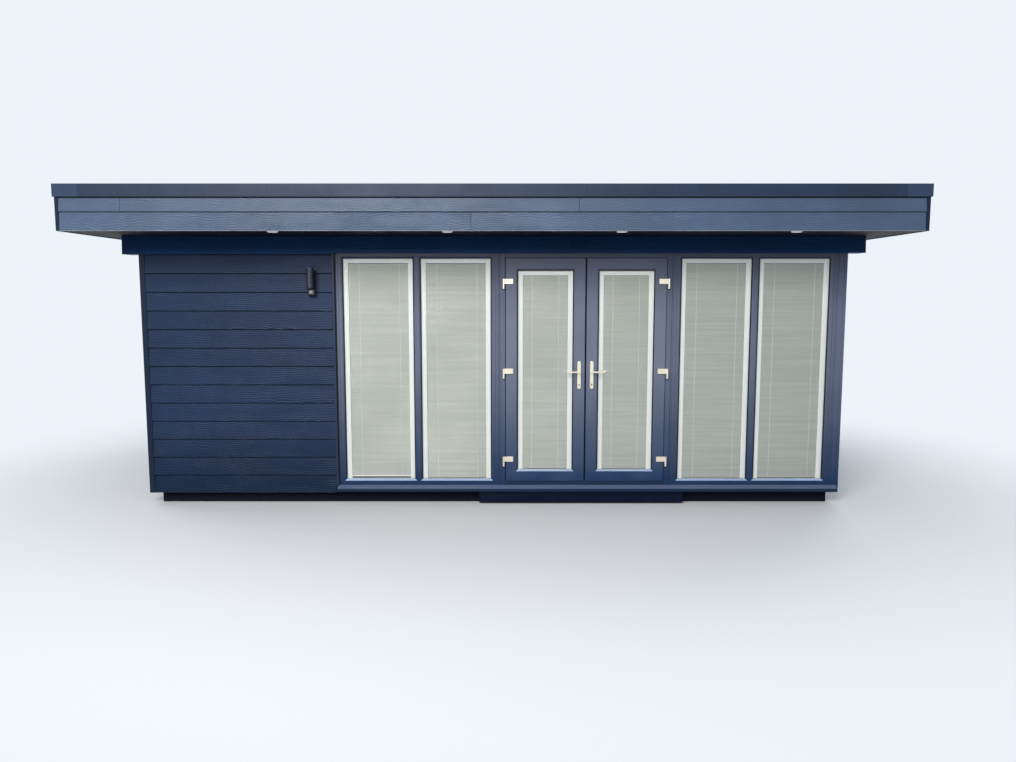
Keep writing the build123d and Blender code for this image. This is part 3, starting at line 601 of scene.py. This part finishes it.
# boards on the named sides of a node's box; end is where those along x stop
def boardPiece(name, node, sides, courses, kind, look, joints=(), end=None):
    low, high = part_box(node)
    lip, endX = kind["lip"], high.x if end is None else end
    runs = {
        "front": ((low.x, high.y, low.z), (1, 0, 0), (0, -1, 0), endX - low.x),
        "back": (low, (1, 0, 0), (0, 1, 0), endX - low.x),
        "left": ((low.x + lip, low.y, low.z), (0, 1, 0), (-1, 0, 0), high.y - low.y),
        "right": ((high.x - lip, low.y, low.z), (0, 1, 0), (1, 0, 0), high.y - low.y),
    }
    bm = boardMesh()
    for side in sides:
        boardWall(bm, *runs[side], courses, kind, joints)
    addPiece(bm, name, look, [node])


course = wallBoards["course"]
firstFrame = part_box("left_window_frame")[0]
boardsEnd = firstFrame.x - wallBoards["offFrame"]
frontCourses, wallCourses = [course] * wallBoards["frontCourses"], [course] * wallBoards["courses"]
boardPiece("frontBoards", "front_cladding", ["front"], frontCourses, wallBoards, "cladding", end=boardsEnd)

low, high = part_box("back_cladding")
full = wallBoards["length"]
backJoints = [[full], [high.x - low.x - full], [wallBoards["thirdJoint"]]]
boardPiece("backBoards", "back_cladding", ["back"], wallCourses, wallBoards, "cladding", backJoints)
boardPiece("sideBoards", "side_cladding", ["left", "right"], wallCourses, wallBoards, "cladding")

# header course with its two stubs past the corners, cut shorter over the glazing
header = {"lift": 0.013, "stubIn": 0.142, "stubFill": 0.010, "stubTop": 0.001, "soften": 0.0015, "joint": 2.05}
low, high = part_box("header_cladding")
wallY = low.y + wallBoards["lip"]
headerLow, headerFoot = low.z, low.z + header["lift"]
ahead = ((1, 0, 0), (0, -1, 0))
bm = boardMesh()
boardWall(bm, (low.x, wallY, headerLow), *ahead, boardsEnd - low.x, [course], wallBoards)
boardWall(
    bm, (boardsEnd, wallY, headerFoot), *ahead, high.x - boardsEnd, [course - header["lift"]], wallBoards,
    [[header["joint"]]],
)
for xA, xB, foot in ((low.x, low.x + header["stubIn"], headerLow), (high.x - header["stubIn"], high.x, headerFoot)):
    tall = high.z - foot - header["stubTop"]
    stub = softBox((xB - xA, high.y - wallY + header["stubFill"], tall), header["soften"])
    layer = stub.verts.layers.float_vector.new("grain")
    for vert in stub.verts:
        vert[layer] = (vert.co.y + xA, vert.co.z - tall / 2, xA)
    middle = ((xA + xB) / 2, (high.y + wallY - header["stubFill"]) / 2, foot + tall / 2)
    dropInto(bm, stub, moveBy(middle))
addPiece(bm, "headerBoards", "header", ["header_cladding"])

# corner angles, then the strip that laps over the first window frame, and beside it a black strip of painted shade
trims = {
    "out": 0.022, "leg": 0.023, "soften": 0.0015, "gap": 0.0005, "lapOver": 0.009,
    "shadeOver": 0.011, "shadeSoften": 0.0008, "offSill": 0.0015,
}
low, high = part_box("corner_trims")
out, leg, soften = trims["out"], trims["leg"], trims["soften"]
corners = (
    (low.x + out, low.y + out, 1, 1, headerLow), (low.x + out, high.y - out, 1, -1, high.z),
    (high.x - out, high.y - out, -1, -1, high.z),
)
outline = [(-out, -out), (leg, -out), (leg, 0), (0, 0), (0, leg), (-out, leg)]
bm = bmesh.new()
for x, y, xWay, yWay, top in corners:
    angle = bmesh.new()
    face = newFace(angle, [(x + xWay * a, y + yWay * b, low.z) for a, b in outline])
    pushOut(angle, [face], (0, 0, top - low.z))
    uprights = [edge for edge in angle.edges if abs(edge.verts[0].co.z - edge.verts[1].co.z) > 0.1]
    roundEdges(angle, [edge for edge in uprights if (edge.verts[0].co.xy - Vector((x, y))).length > 0.001], soften)
    dropInto(bm, angle, Matrix.Identity(4))
addPiece(bm, "cornerTrims", "trim", ["corner_trims"])

stripEnd = firstFrame.x + trims["lapOver"]
stripLow = (boardsEnd + trims["gap"], low.y, firstFrame.z + trims["offSill"])
shadeLow = (firstFrame.x + trims["gap"], low.y + out - 4 * hair, firstFrame.z + 0.001)
shadeHigh = (stripEnd + trims["shadeOver"], firstFrame.y - 2 * hair, headerFoot)
for name, start, end, rounding, look in (
    ("frontRightTrim", (high.x - out, low.y + out, low.z), (high.x, low.y + out + leg, headerFoot), soften, "foil"),
    ("jambStrip", stripLow, (stripEnd, low.y + out, headerFoot), soften, "edge"),
    # painted shade in the gap beside the frame
    ("jambShadeStrip", shadeLow, shadeHigh, trims["shadeSoften"], "rubberAndShade"),
):
    bm = bmesh.new()
    spanBox(bm, start, end, rounding)
    addPiece(bm, name, look)

# fascias: a wide board below a narrow one
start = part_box("front_fascia")[0].x
frontJoints = [[x - start for x in row] for row in fasciaBoards["frontJoints"]]
for name, node, sides, joints in (
    ("frontFascia", "front_fascia", ["front"], frontJoints),
    ("backFascia", "back_fascia", ["back"], fasciaBoards["backJoints"]),
    ("sideFascias", "side_fascias", ["left", "right"], fasciaBoards["sideJoints"]),
):
    boardPiece(name, node, sides, fasciaBoards["courses"], fasciaBoards, "fascia", joints)
print("boards laid")

# black membrane behind the boards and under the sill, seen only through their gaps
wrap = {"thick": 0.0012, "stop": 0.0005, "frontIn": 0.004, "beamIn": 0.002, "below": 0.001}
thick, stop = wrap["thick"], wrap["stop"]
panelLow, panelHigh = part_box("roof_panel")
beamLow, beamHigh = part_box("header_beam")
frontLow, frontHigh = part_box("front_wall")
backLow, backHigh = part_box("back_wall")
deckLow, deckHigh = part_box("floor_deck")
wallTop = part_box("soffit")[0].z - stop
bm = bmesh.new()
for xA, xB, y, zA, zB in (
    (frontLow.x, frontHigh.x + stop, frontLow.y, deckLow.z, wallTop),
    (frontHigh.x + 2 * stop, deckHigh.x, frontLow.y, deckLow.z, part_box("sill")[0].z - stop),
    (beamLow.x, beamHigh.x, beamLow.y, beamLow.z + wrap["beamIn"], wallTop),
    (backLow.x, backHigh.x, backHigh.y + thick + hair, deckLow.z, wallTop),
):
    spanBox(bm, (xA, y - thick, zA), (xB, y - hair, zB))
for x, way in ((backLow.x, -1), (backHigh.x, 1)):
    a, b = sorted((x + way * hair, x + way * thick))
    spanBox(bm, (a, frontLow.y + wrap["frontIn"], deckLow.z), (b, backHigh.y - stop, wallTop))
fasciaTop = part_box("front_fascia")[1].z - wrap["below"]
fourBars(bm, panelLow, panelHigh, thick, -hair, (0, 0), (panelLow.z, fasciaTop))
addPiece(bm, "wallWrap", "black", soft=False)

# a pale strip along the fascia's lower edge as painted highlight, and black strips as painted shade under the roof trim
# and beside the soffit
edging = {
    "inset": fasciaBoards["lip"] + 0.005, "highlightOut": 0.0006, "highlightDeep": 0.009, "highlightLow": 0.0010, "highlightHigh": 0.0045,
    "trimShadeHigh": 0.0075, "trimShadeFront": 0.0015, "trimShadeBack": 0.0100, "trimShadeGap": 0.0003,
    "edgeShadeIn": 0.011, "edgeShadeLow": 0.002, "edgeShadeHigh": 0.010, "edgeShadeOver": 0.010,
    "highlightSoft": 0.0022, "trimShadeSoft": 0.0012, "edgeShadeSoft": 0.001,
}
roofLow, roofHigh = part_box("fascia_corners")
soffitLow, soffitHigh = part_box("soffit")
ends = (edging["inset"], edging["inset"])
bm = bmesh.new()
heights = (roofLow.z - edging["highlightLow"], roofLow.z + edging["highlightHigh"])
fourBars(bm, roofLow, roofHigh, edging["highlightOut"], edging["highlightDeep"], ends, heights, edging["highlightSoft"], 3)
addPiece(bm, "fasciaEdgeHighlight", "edgeHighlight")

# painted shade: a black strip under the roof trim
bm = bmesh.new()
heights = (roofHigh.z - edging["trimShadeHigh"], roofHigh.z - edging["trimShadeGap"])
front, back = edging["trimShadeFront"], edging["trimShadeBack"]
fourBars(bm, roofLow, roofHigh, -front, back, ends, heights, edging["trimShadeSoft"])
addPiece(bm, "trimShadeStrip", "black")

# painted shade: black strips along the soffit's edges
bm = bmesh.new()
zA, zB = soffitLow.z - edging["edgeShadeLow"], soffitLow.z + edging["edgeShadeHigh"]
edgeShadeIn, over, soften = edging["edgeShadeIn"], edging["edgeShadeOver"], edging["edgeShadeSoft"]
for yA, yB in ((roofLow.y + edgeShadeIn, soffitLow.y), (soffitHigh.y, roofHigh.y - edgeShadeIn)):
    spanBox(bm, (soffitLow.x, yA, zA), (soffitHigh.x, yB, zB), soften)
for xA, xB in ((roofLow.x + edgeShadeIn, soffitLow.x), (soffitHigh.x, roofHigh.x - edgeShadeIn)):
    spanBox(bm, (xA, soffitLow.y - over, zA), (xB, soffitHigh.y + over, zB), soften)
addPiece(bm, "soffitEdgeShade", "black")
print("fascia edge made")


# ---- glazing: gaskets, and a blind inside each sealed unit

glazing = {
    "pocket": 0.0115, "mullion": 0.068, "sheet": 0.004, "cavity": 0.020, "slack": 0.001,
    "gasket": 0.0035, "gasketDeep": 0.0075, "gasketSoften": 0.0014, "lap": 0.0080, "shadeBandDeep": 0.0140, "shadeBandOn": 0.0015,
    "bevelWide": 0.017, "bevelFront": 0.020, "bevelBack": 0.008, "bevelSkin": 0.0005, "shadeBandSoft": 0.0024,
}
blind = {
    "slat": 0.0125, "pitch": 0.0108, "crown": 0.0011, "tilt": 71.0, "thick": 0.00025,
    "sway": 0.9, "shift": 0.0003, "roll": 0.0006,
    "guideSoft": 0.0008, "lipSoft": 0.0012, "headSoft": 0.0016, "railSoft": 0.0025,
    "guide": 0.043, "guideLip": 0.009, "lipSunk": 0.0035, "tuck": 0.002, "head": 0.040, "headSunk": 0.0008,
    "rail": 0.010, "railSunk": 0.003, "whiteFrom": 0.010, "overRail": 0.004,
    "cord": 0.0010, "cordThick": 0.0005, "cordFront": 0.0048, "cordBack": 0.0042, "cordUp": 0.003,
    "cordIn": (0.137, 0.118), "doorCord": 0.115, "doorGap": 0.004,
    "gaps": {"left": (0.016, 0.004), "right": (0.004, 0.006)}, "seed": 41,
}
blindDice = random.Random(blind["seed"])


# pale skin on the sloping bead under a pane, with its mitred ends: a painted reflection
def addBevel(target, x, zA, width, y):
    wide, front, back, skin = (glazing[key] for key in ("bevelWide", "bevelFront", "bevelBack", "bevelSkin"))
    bm = bmesh.new()
    inner = width / 2 - glazing["slack"]
    outer = inner + wide
    rim = [(x + way * outer, y - front, zA - wide) for way in (-1, 1)]
    face = newFace(bm, rim + [(x + way * inner, y - back, zA) for way in (1, -1)])
    face.normal_update()
    bmesh.ops.translate(bm, vec=face.normal * skin, verts=bm.verts)
    bmesh.ops.solidify(bm, geom=bm.faces[:], thickness=skin * 0.9)
    dropInto(target, bm, Matrix.Identity(4))


# one curved slat across the middle of the pane, a little out of true
def addSlat(target, x, y, z, length):
    slat = bmesh.new()
    bmesh.ops.create_grid(slat, x_segments=1, y_segments=4, size=0.5)
    bmesh.ops.scale(slat, vec=(length, blind["slat"], 1), verts=slat.verts)
    for vert in slat.verts:
        vert.co.z = blind["crown"] * (1 - (2 * vert.co.y / blind["slat"]) ** 2)
    sway, shift, roll = (blindDice.uniform(-blind[key], blind[key]) for key in ("sway", "shift", "roll"))
    lean = Matrix.Rotation(math.radians(blind["tilt"] + sway), 4, "X")
    dropInto(target, slat, moveBy((x, y + shift, z)) @ lean @ Matrix.Rotation(roll, 4, "Y"))


# pane: middle x, the visible glass from low to high, its width, y of its outer face, gap under the blind, cords
def glazePane(pieces, pane):
    x, zA, zB, width, y = (pane[key] for key in ("x", "low", "high", "width", "y"))
    pocket, slack, guide, tuck = glazing["pocket"], glazing["slack"], blind["guide"], blind["tuck"]
    frames = pieces["frames"]
    yA = y + glazing["sheet"] + 3 * hair
    yB = yA + glazing["cavity"] - 6 * hair
    bottom, top = zA - pocket + slack, zB + pocket - slack
    for way in (-1, 1):
        edge = x + way * width / 2
        inside = edge - way * (guide - blind["guideLip"])
        a, b = sorted((edge + way * (pocket - slack), inside))
        spanBox(frames, (a, yA, bottom), (b, yB, top), blind["guideSoft"])
        a, b = sorted((inside + way * 5 * hair, edge - way * guide))
        sunk = blind["lipSunk"]
        spanBox(frames, (a, yA + sunk, bottom), (b, yB - sunk, zB - tuck), blind["lipSoft"])
    inner, headLow, sunk = width / 2 - guide, zB - blind["head"], blind["headSunk"]
    spanBox(frames, (x - inner - tuck, yA + sunk, headLow), (x + inner + tuck, yB - sunk, top), blind["headSoft"])
    spanBox(frames, (x - inner - tuck, yA, bottom), (x + inner + tuck, yB, zA - slack), blind["guideSoft"])
    railLow, sunk, half = zA + pane["gap"], blind["railSunk"], inner - slack
    railTop = railLow + blind["rail"]
    # a rail that hangs clear of the bead is white
    home = frames if pane["gap"] > blind["whiteFrom"] else pieces["rails"]
    spanBox(home, (x - half, yA + sunk, railLow), (x + half, yB - sunk, railTop), blind["railSoft"], 3)
    yMid = (yA + yB) / 2
    z = railTop + blind["overRail"]
    while z < headLow - tuck:
        addSlat(pieces["slats"], x, yMid, z, 2 * (inner - tuck))
        z += blind["pitch"]
    wide, deep, cordTop = blind["cord"], blind["cordThick"], headLow + blind["cordUp"]
    for cordX in pane["cords"]:
        for cordY in (yMid - blind["cordFront"], yMid + blind["cordBack"]):
            start = (cordX - wide, cordY - deep, railLow + tuck)
            spanBox(pieces["cords"], start, (cordX + wide, cordY + deep, cordTop))
    seals, size = pieces["seals"], (width + 6 * hair, zB - zA + 6 * hair)
    for face, way in ((y, -1), (y + 2 * glazing["sheet"] + glazing["cavity"], 1)):
        out = way * glazing["gasketDeep"]
        addRing(seals, (x, (zA + zB) / 2), size, glazing["gasket"], face + out, -out, glazing["gasketSoften"])
    # black bands down the sides and over the top: partly the gasket's lip, partly painted shade of the bevel under them
    lap, on, half, yFront, yBack = glazing["lap"], glazing["shadeBandOn"], width / 2, y - glazing["shadeBandDeep"], y - 2 * hair
    for a, b, c in (
        (x - half - lap, x - half + on, zA - slack), (x + half - on, x + half + lap, zA - slack),
        (x - half - lap, x + half + lap, zB - on),
    ):
        spanBox(seals, (a, yFront, c), (b, yBack, zB + lap), glazing["shadeBandSoft"], 3)


def glazeUnit(prefix, body, panes, node):
    pieces = {key: bmesh.new() for key in ("frames", "slats", "cords", "seals", "bevels", "rails")}
    for pane in panes:
        glazePane(pieces, pane)
        addBevel(pieces["bevels"], pane["x"], pane["low"], pane["width"], pane["y"])
    slats = pieces["slats"]
    bmesh.ops.recalc_face_normals(slats, faces=slats.faces[:])
    bmesh.ops.solidify(slats, geom=slats.faces[:], thickness=blind["thick"])
    for key, name, slotName, look, stands in (
        ("slats", "Slats", "blind", "slat", [node]), ("frames", "BlindFrame", "blind", "white", ()),
        ("rails", "BottomRails", "blind", "slat", ()), ("cords", "LadderCords", "blind", "cord", ()),
        ("seals", "GasketsAndShadeBands", "frame_foil", "rubberAndShade", ()), ("bevels", "BevelReflections", "frame_foil", "bevel", ()),
    ):
        addPiece(pieces[key], prefix + name, look, stands, body, key not in ("cords", "bevels"))


def paneIn(low, high, x, width, gap, cords):
    pocket = glazing["pocket"]
    heights = {"low": low.z + pocket, "high": high.z - pocket}
    return {"x": x, "width": width, "y": low.y, "gap": gap, "cords": cords, **heights}


for side in ("left", "right"):
    pocket, mullion = glazing["pocket"], glazing["mullion"]
    low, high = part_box(f"{side}_window_glass")
    width = (high.x - low.x - 2 * pocket - mullion) / 2
    panes = []
    for number, gap in enumerate(blind["gaps"][side]):
        x = low.x + pocket + width / 2 + number * (width + mullion)
        cords = (x - width / 2 + blind["cordIn"][0], x + width / 2 - blind["cordIn"][1])
        panes.append(paneIn(low, high, x, width, gap, cords))
    glazeUnit(f"{side}Window", "building", panes, f"{side}_window_blinds")

    low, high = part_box(f"{side}_door_glass")
    x, width, out = (low.x + high.x) / 2, high.x - low.x - 2 * pocket, blind["doorCord"]
    pane = paneIn(low, high, x, width, blind["doorGap"], (x - out, x + out))
    glazeUnit(f"{side}Door", f"{side}_leaf", [pane], f"{side}_door_blind")

# black strips in the grooves down the window frames, which paint the shade in those grooves, and silicone in the joints
# beside the doors
grooves = {"insets": (0.014, 0.039), "wide": 0.0019, "sunk": 0.0004, "deep": 0.0019, "joint": 0.0032, "proud": 0.0003}
bm = bmesh.new()
for side in ("left", "right"):
    low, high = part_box(f"{side}_window_frame")
    zA, zB, back = low.z + 0.001, high.z - 0.001, low.y + grooves["deep"]
    half = grooves["wide"] / 2
    for inset in grooves["insets"]:
        for x in (low.x + inset, high.x - inset):
            spanBox(bm, (x - half, low.y + grooves["sunk"], zA), (x + half, back, zB))
    x, half = high.x if side == "left" else low.x, grooves["joint"] / 2
    spanBox(bm, (x - half, low.y - grooves["proud"], zA), (x + half, back, zB), hair)
addPiece(bm, "frameGrooveShadeAndJoints", "rubberAndShade", soft=False)

# a soft flap down each meeting edge, and the weld lines in the corners of the leaves
meeting = {
    "reach": 0.0035, "root": 0.0002, "front": 0.0045, "deep": 0.006, "short": 0.004, "soften": 0.0012,
    "weld": 0.0007, "proud": 0.00015,
}
rimIn = glazing["pocket"] - glazing["bevelWide"]
for side, way in (("left", 1), ("right", -1)):
    low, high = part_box(f"{side}_door_sash")
    edge = high.x if way > 0 else low.x
    a, b = sorted((edge - way * meeting["root"], edge + way * meeting["reach"]))
    front, short = low.y + meeting["front"], meeting["short"]
    bm = bmesh.new()
    spanBox(bm, (a, front, low.z + short), (b, front + meeting["deep"], high.z - short), meeting["soften"])
    addPiece(bm, f"{side}MeetingFlap", "trim", body=f"{side}_leaf")
    glassLow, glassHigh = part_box(f"{side}_door_glass")
    columns = ((low.x, glassLow.x + rimIn), (high.x, glassHigh.x - rimIn))
    rows = ((low.z, glassLow.z + rimIn), (high.z, glassHigh.z - rimIn))
    bm = bmesh.new()
    for zA, zB in rows:
        for xA, xB in columns:
            run = Vector((xB - xA, 0, zB - zA))
            for y in (low.y, high.y):
                line = softBox((run.length - short, 2 * meeting["proud"], meeting["weld"]))
                middle = moveBy(((xA + xB) / 2, y, (zA + zB) / 2))
                dropInto(bm, line, middle @ Matrix.Rotation(-math.atan2(run.z, run.x), 4, "Y"))
    addPiece(bm, f"{side}WeldLines", "trim", body=f"{side}_leaf", soft=False)
print("glazing made")


# ---- ironmongery: screws and keyholes on the plates and hinges

ironmongery = {
    "plateScrew": 0.0036, "plateScrewIn": 0.016, "plateLong": 0.245, "plateThick": 0.010,
    "hingeScrew": 0.0034, "hingeScrewIn": 0.0225, "hingeScrews": (-0.017, 0.019), "hingeShift": 0.010,
    "hingeFace": 0.0122, "screwHigh": 0.0012, "proud": 0.0004, "turned": 20,
    "keyholeDown": 0.206, "keyhole": 0.0065, "keyholeProud": 0.0045,
}
faceOut = Matrix.Rotation(math.radians(90), 4, "X")


def addScrew(target, at, radius, out=-1):
    high = ironmongery["screwHigh"]
    dropInto(target, discShape(radius, high, high * 0.4, 20), moveBy(at) @ faceOut)
    slotAt = moveBy((at[0], at[1] + out * (high / 2 + hair), at[2]))
    for turn in (0, 90):
        slot = softBox((radius * 1.3, 0.0003, radius * 0.28))
        dropInto(target, slot, slotAt @ Matrix.Rotation(math.radians(turn + ironmongery["turned"]), 4, "Y"))


for side, way in (("left", 1), ("right", -1)):
    screws, keyways = bmesh.new(), bmesh.new()
    low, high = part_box(f"{side}_handle_plates")
    sashLow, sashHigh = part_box(f"{side}_door_sash")
    x, inset, small = (low.x + high.x) / 2, ironmongery["plateScrewIn"], ironmongery["proud"]
    plateFaces = ((sashLow.y - ironmongery["plateThick"], -1), (sashHigh.y + ironmongery["plateThick"], 1))
    for face, out in plateFaces:
        for z in (high.z - inset, high.z - ironmongery["plateLong"] + inset):
            addScrew(screws, (x, face + out * small, z), ironmongery["plateScrew"], out)
        proud = ironmongery["keyholeProud"] if side == "left" and out < 0 else small
        keyhole = moveBy((x, face + out * proud, high.z - ironmongery["keyholeDown"]))
        dropInto(keyways, discShape(ironmongery["keyhole"], 0.0012, 0.0004, 24), keyhole @ faceOut)
    low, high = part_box(f"{side}_sash_hinges")
    plateMid, inset = (low.x + high.x) / 2 + way * ironmongery["hingeShift"], ironmongery["hingeScrewIn"]
    for z in (low.z + inset, (low.z + high.z) / 2, high.z - inset):
        for shift in ironmongery["hingeScrews"]:
            at = (plateMid + way * shift, sashLow.y - ironmongery["hingeFace"], z)
            addScrew(screws, at, ironmongery["hingeScrew"])
    addPiece(screws, f"{side}Screws", "brass", body=f"{side}_leaf")
    addPiece(keyways, f"{side}Keyways", "keyway", body=f"{side}_leaf")
print("ironmongery made")


# ---- lamps

low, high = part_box("wall_light")
lamp = {
    "x": (low.x + high.x) / 2, "radius": 0.031, "tubeLow": high.z - 0.173, "lensIn": 0.015, "lensLess": 0.0028,
    "sensor": 0.0156, "sensorRim": 0.019, "sensorY": -1.558, "sensorZ": low.z + 0.0285, "skin": 0.0006, "over": 0.0004,
}
lamp["y"] = low.y + lamp["radius"]
bm = bmesh.new()
for z in (lamp["tubeLow"] + lamp["lensIn"], high.z - lamp["lensIn"]):
    lens = discShape(lamp["radius"] - lamp["lensLess"], 0.006, 0.002, 40)
    dropInto(bm, lens, moveBy((lamp["x"], lamp["y"], z)))
addPiece(bm, "lampLenses", "lampLens")

bm = bmesh.new()
bmesh.ops.create_uvsphere(bm, u_segments=32, v_segments=16, radius=lamp["sensor"])
dropInto(bm, discShape(lamp["sensorRim"], 0.006, 0.002, 40), faceOut)
bmesh.ops.translate(bm, vec=(lamp["x"], lamp["sensorY"], lamp["sensorZ"]), verts=bm.verts)
addPiece(bm, "sensorEye", "dome")

# brushed sleeve round the tube
bm = bmesh.new()
radius = lamp["radius"] + lamp["skin"]
tall = high.z - lamp["tubeLow"] + lamp["over"]
bmesh.ops.create_cone(bm, cap_ends=False, segments=64, radius1=radius, radius2=radius, depth=tall)
bmesh.ops.recalc_face_normals(bm, faces=bm.faces[:])
bmesh.ops.solidify(bm, geom=bm.faces[:], thickness=lamp["skin"] * 0.9)
bmesh.ops.translate(bm, vec=(lamp["x"], lamp["y"], (high.z + lamp["tubeLow"]) / 2), verts=bm.verts)
addPiece(bm, "lampSleeve", "tube")

low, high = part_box("downlights")
spots = {"radius": 0.043, "count": 4, "lens": 0.0285, "lensUp": 0.0022}
first, last = low.x + spots["radius"], high.x - spots["radius"]
bm = bmesh.new()
for number in range(spots["count"]):
    x = first + number * (last - first) / (spots["count"] - 1)
    middle = (x, (low.y + high.y) / 2, low.z + spots["lensUp"])
    dropInto(bm, discShape(spots["lens"], 0.003, 0.001, 40), moveBy(middle))
addPiece(bm, "spotLenses", "spotLens")
print("lamps made")


# ---- roof covering: welded seams and the upstand over the kerb

roofing = {
    "roll": 1.0, "seam": 0.075, "seamHigh": 0.0022, "seamSunk": 0.0004, "seamEnd": 0.01, "lastRoll": 0.2,
    "lining": 0.002, "proud": 0.0005, "sunk": 0.001, "over": 0.030, "cap": 0.0015,
}
low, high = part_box("roof_membrane")
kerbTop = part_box("roof_kerb")[1].z
bm = bmesh.new()
x, end = low.x + roofing["roll"], roofing["seamEnd"]
while x < high.x - roofing["lastRoll"]:
    seamLow = (x, low.y + end, high.z - roofing["seamSunk"])
    spanBox(bm, seamLow, (x + roofing["seam"], high.y - end, high.z + roofing["seamHigh"]), 0.001)
    x += roofing["roll"]
addPiece(bm, "membraneSeams", "seam")

bm = bmesh.new()
lining, proud, over = roofing["lining"], roofing["proud"], roofing["over"]
fourBars(bm, low, high, proud, lining, (0, 0), (high.z - roofing["sunk"], kerbTop), 0.0006)
fourBars(bm, low, high, over, lining, (0, -over), (kerbTop - proud, kerbTop + roofing["cap"]), 0.0004)
addPiece(bm, "membraneUpstand", "membrane")
print("roof covered")


# ---- finishes for the parts that stay as they are

nodeFinish = {
    "base_frame": "ground", "floor_deck": "floor", "front_wall": "lining", "back_wall": "lining", "left_wall": "lining",
    "right_wall": "lining", "header_beam": "lining", "corner_post": "foil", "roof_panel": "sawn", "roof_kerb": "kerb",
    "roof_membrane": "membrane", "ceiling_board": "lining", "soffit": "soffit", "fascia_corners": "trim",
    "roof_edge": "edge", "roof_edge_corners": "edgeCorner", "downlights": "lampWhite", "wall_light": "lamp",
    "sill": "shadedSillFoil", "door_head": "foil", "door_threshold": "shadedSillFoil", "step_board": "step",
}
sideFinish = {
    "window_frame": "foil", "window_glass": "glass", "door_jamb": "foil", "door_sash": "leafFoilWithReflection",
    "door_glass": "glass", "sash_hinges": "brass", "frame_hinges": "brass", "handle_plates": "brass",
    "door_lever": "brass",
}
for side in ("left", "right"):
    nodeFinish.update({f"{side}_{name}": kind for name, kind in sideFinish.items()})
for name, kind in nodeFinish.items():
    for holder in nodes[name].material_slots:
        holder.material = finish[kind]
print("frame finished")


# ---- stage and light

stage = {
    "radius": 70.0, "floor": (0.66, 0.66, 0.67), "bounce": (0.15, 0.155, 0.17), "far": (0.84, 0.90, 0.96),
    "fadeFrom": 3.2, "fadeTo": 6.6, "sky": (0.78, 0.89, 1.0), "skyStrength": 0.62,
}
lights = {  # name: place, aim, size, power, colour
    "key": ((-2.4, -10.4, 6.3), (0.0, -0.8, 1.2), 5.0, 1060.0, (1.0, 0.97, 0.93)),
    "fill": ((7.5, 9.0, 6.4), (0.0, 0.6, 1.2), 6.0, 640.0, (0.97, 0.98, 1.0)),
    "side": ((-9.5, 3.0, 8.5), (0.0, 0.6, 1.2), 6.0, 340.0, (0.97, 0.98, 1.0)),
}
bm = bmesh.new()
bmesh.ops.create_circle(bm, cap_ends=True, segments=96, radius=stage["radius"])
mesh = bpy.data.meshes.new("floorStage")
bm.to_mesh(mesh)
bm.free()
ground = newObject("floorStage", mesh)
material, shader, place = newMaterial("stageFloor")
tree = place.id_data
reach = put(tree, "VectorMath", {"operation": "LENGTH"})
feed(reach.inputs[0], place)
fadeOut = put(
    tree, "MapRange", {"interpolation_type": "SMOOTHSTEP"}, Value=reach.outputs["Value"],
    From_Min=stage["fadeFrom"], From_Max=stage["fadeTo"],
).outputs[0]
seen = seenDirectly(tree)
color = blendColors(seen, stage["bounce"], stage["floor"])
wire(shader, Base_Color=color, Roughness=0.9, Specular_IOR_Level=0.1)
glow = put(tree, "Emission", Color=stage["far"], Strength=1.0)
mixSurface(tree, calc("MULTIPLY", fadeOut, seen), shader, glow, "Material Output")
mesh.materials.append(material)

world = bpy.data.worlds.new("studio")
bpy.context.scene.world = world
world.use_nodes = True
tree = world.node_tree
sky = wire(tree.nodes["Background"], Color=stage["sky"], Strength=stage["skyStrength"])
backdrop = put(tree, "Background", Color=stage["far"], Strength=1.0)
mixSurface(tree, seenDirectly(tree), sky, backdrop, "World Output")

for name, (place, aim, size, power, color) in lights.items():
    softbox = bpy.data.lights.new(name, "AREA")
    softbox.shape = "SQUARE"
    softbox.size = size
    softbox.energy = power
    softbox.color = color
    holder = newObject(name, softbox)
    holder.location = place
    holder.rotation_euler = (Vector(aim) - Vector(place)).to_track_quat("-Z", "Y").to_euler()
bpy.context.scene.view_settings.view_transform = "Standard"
print("stage lit")
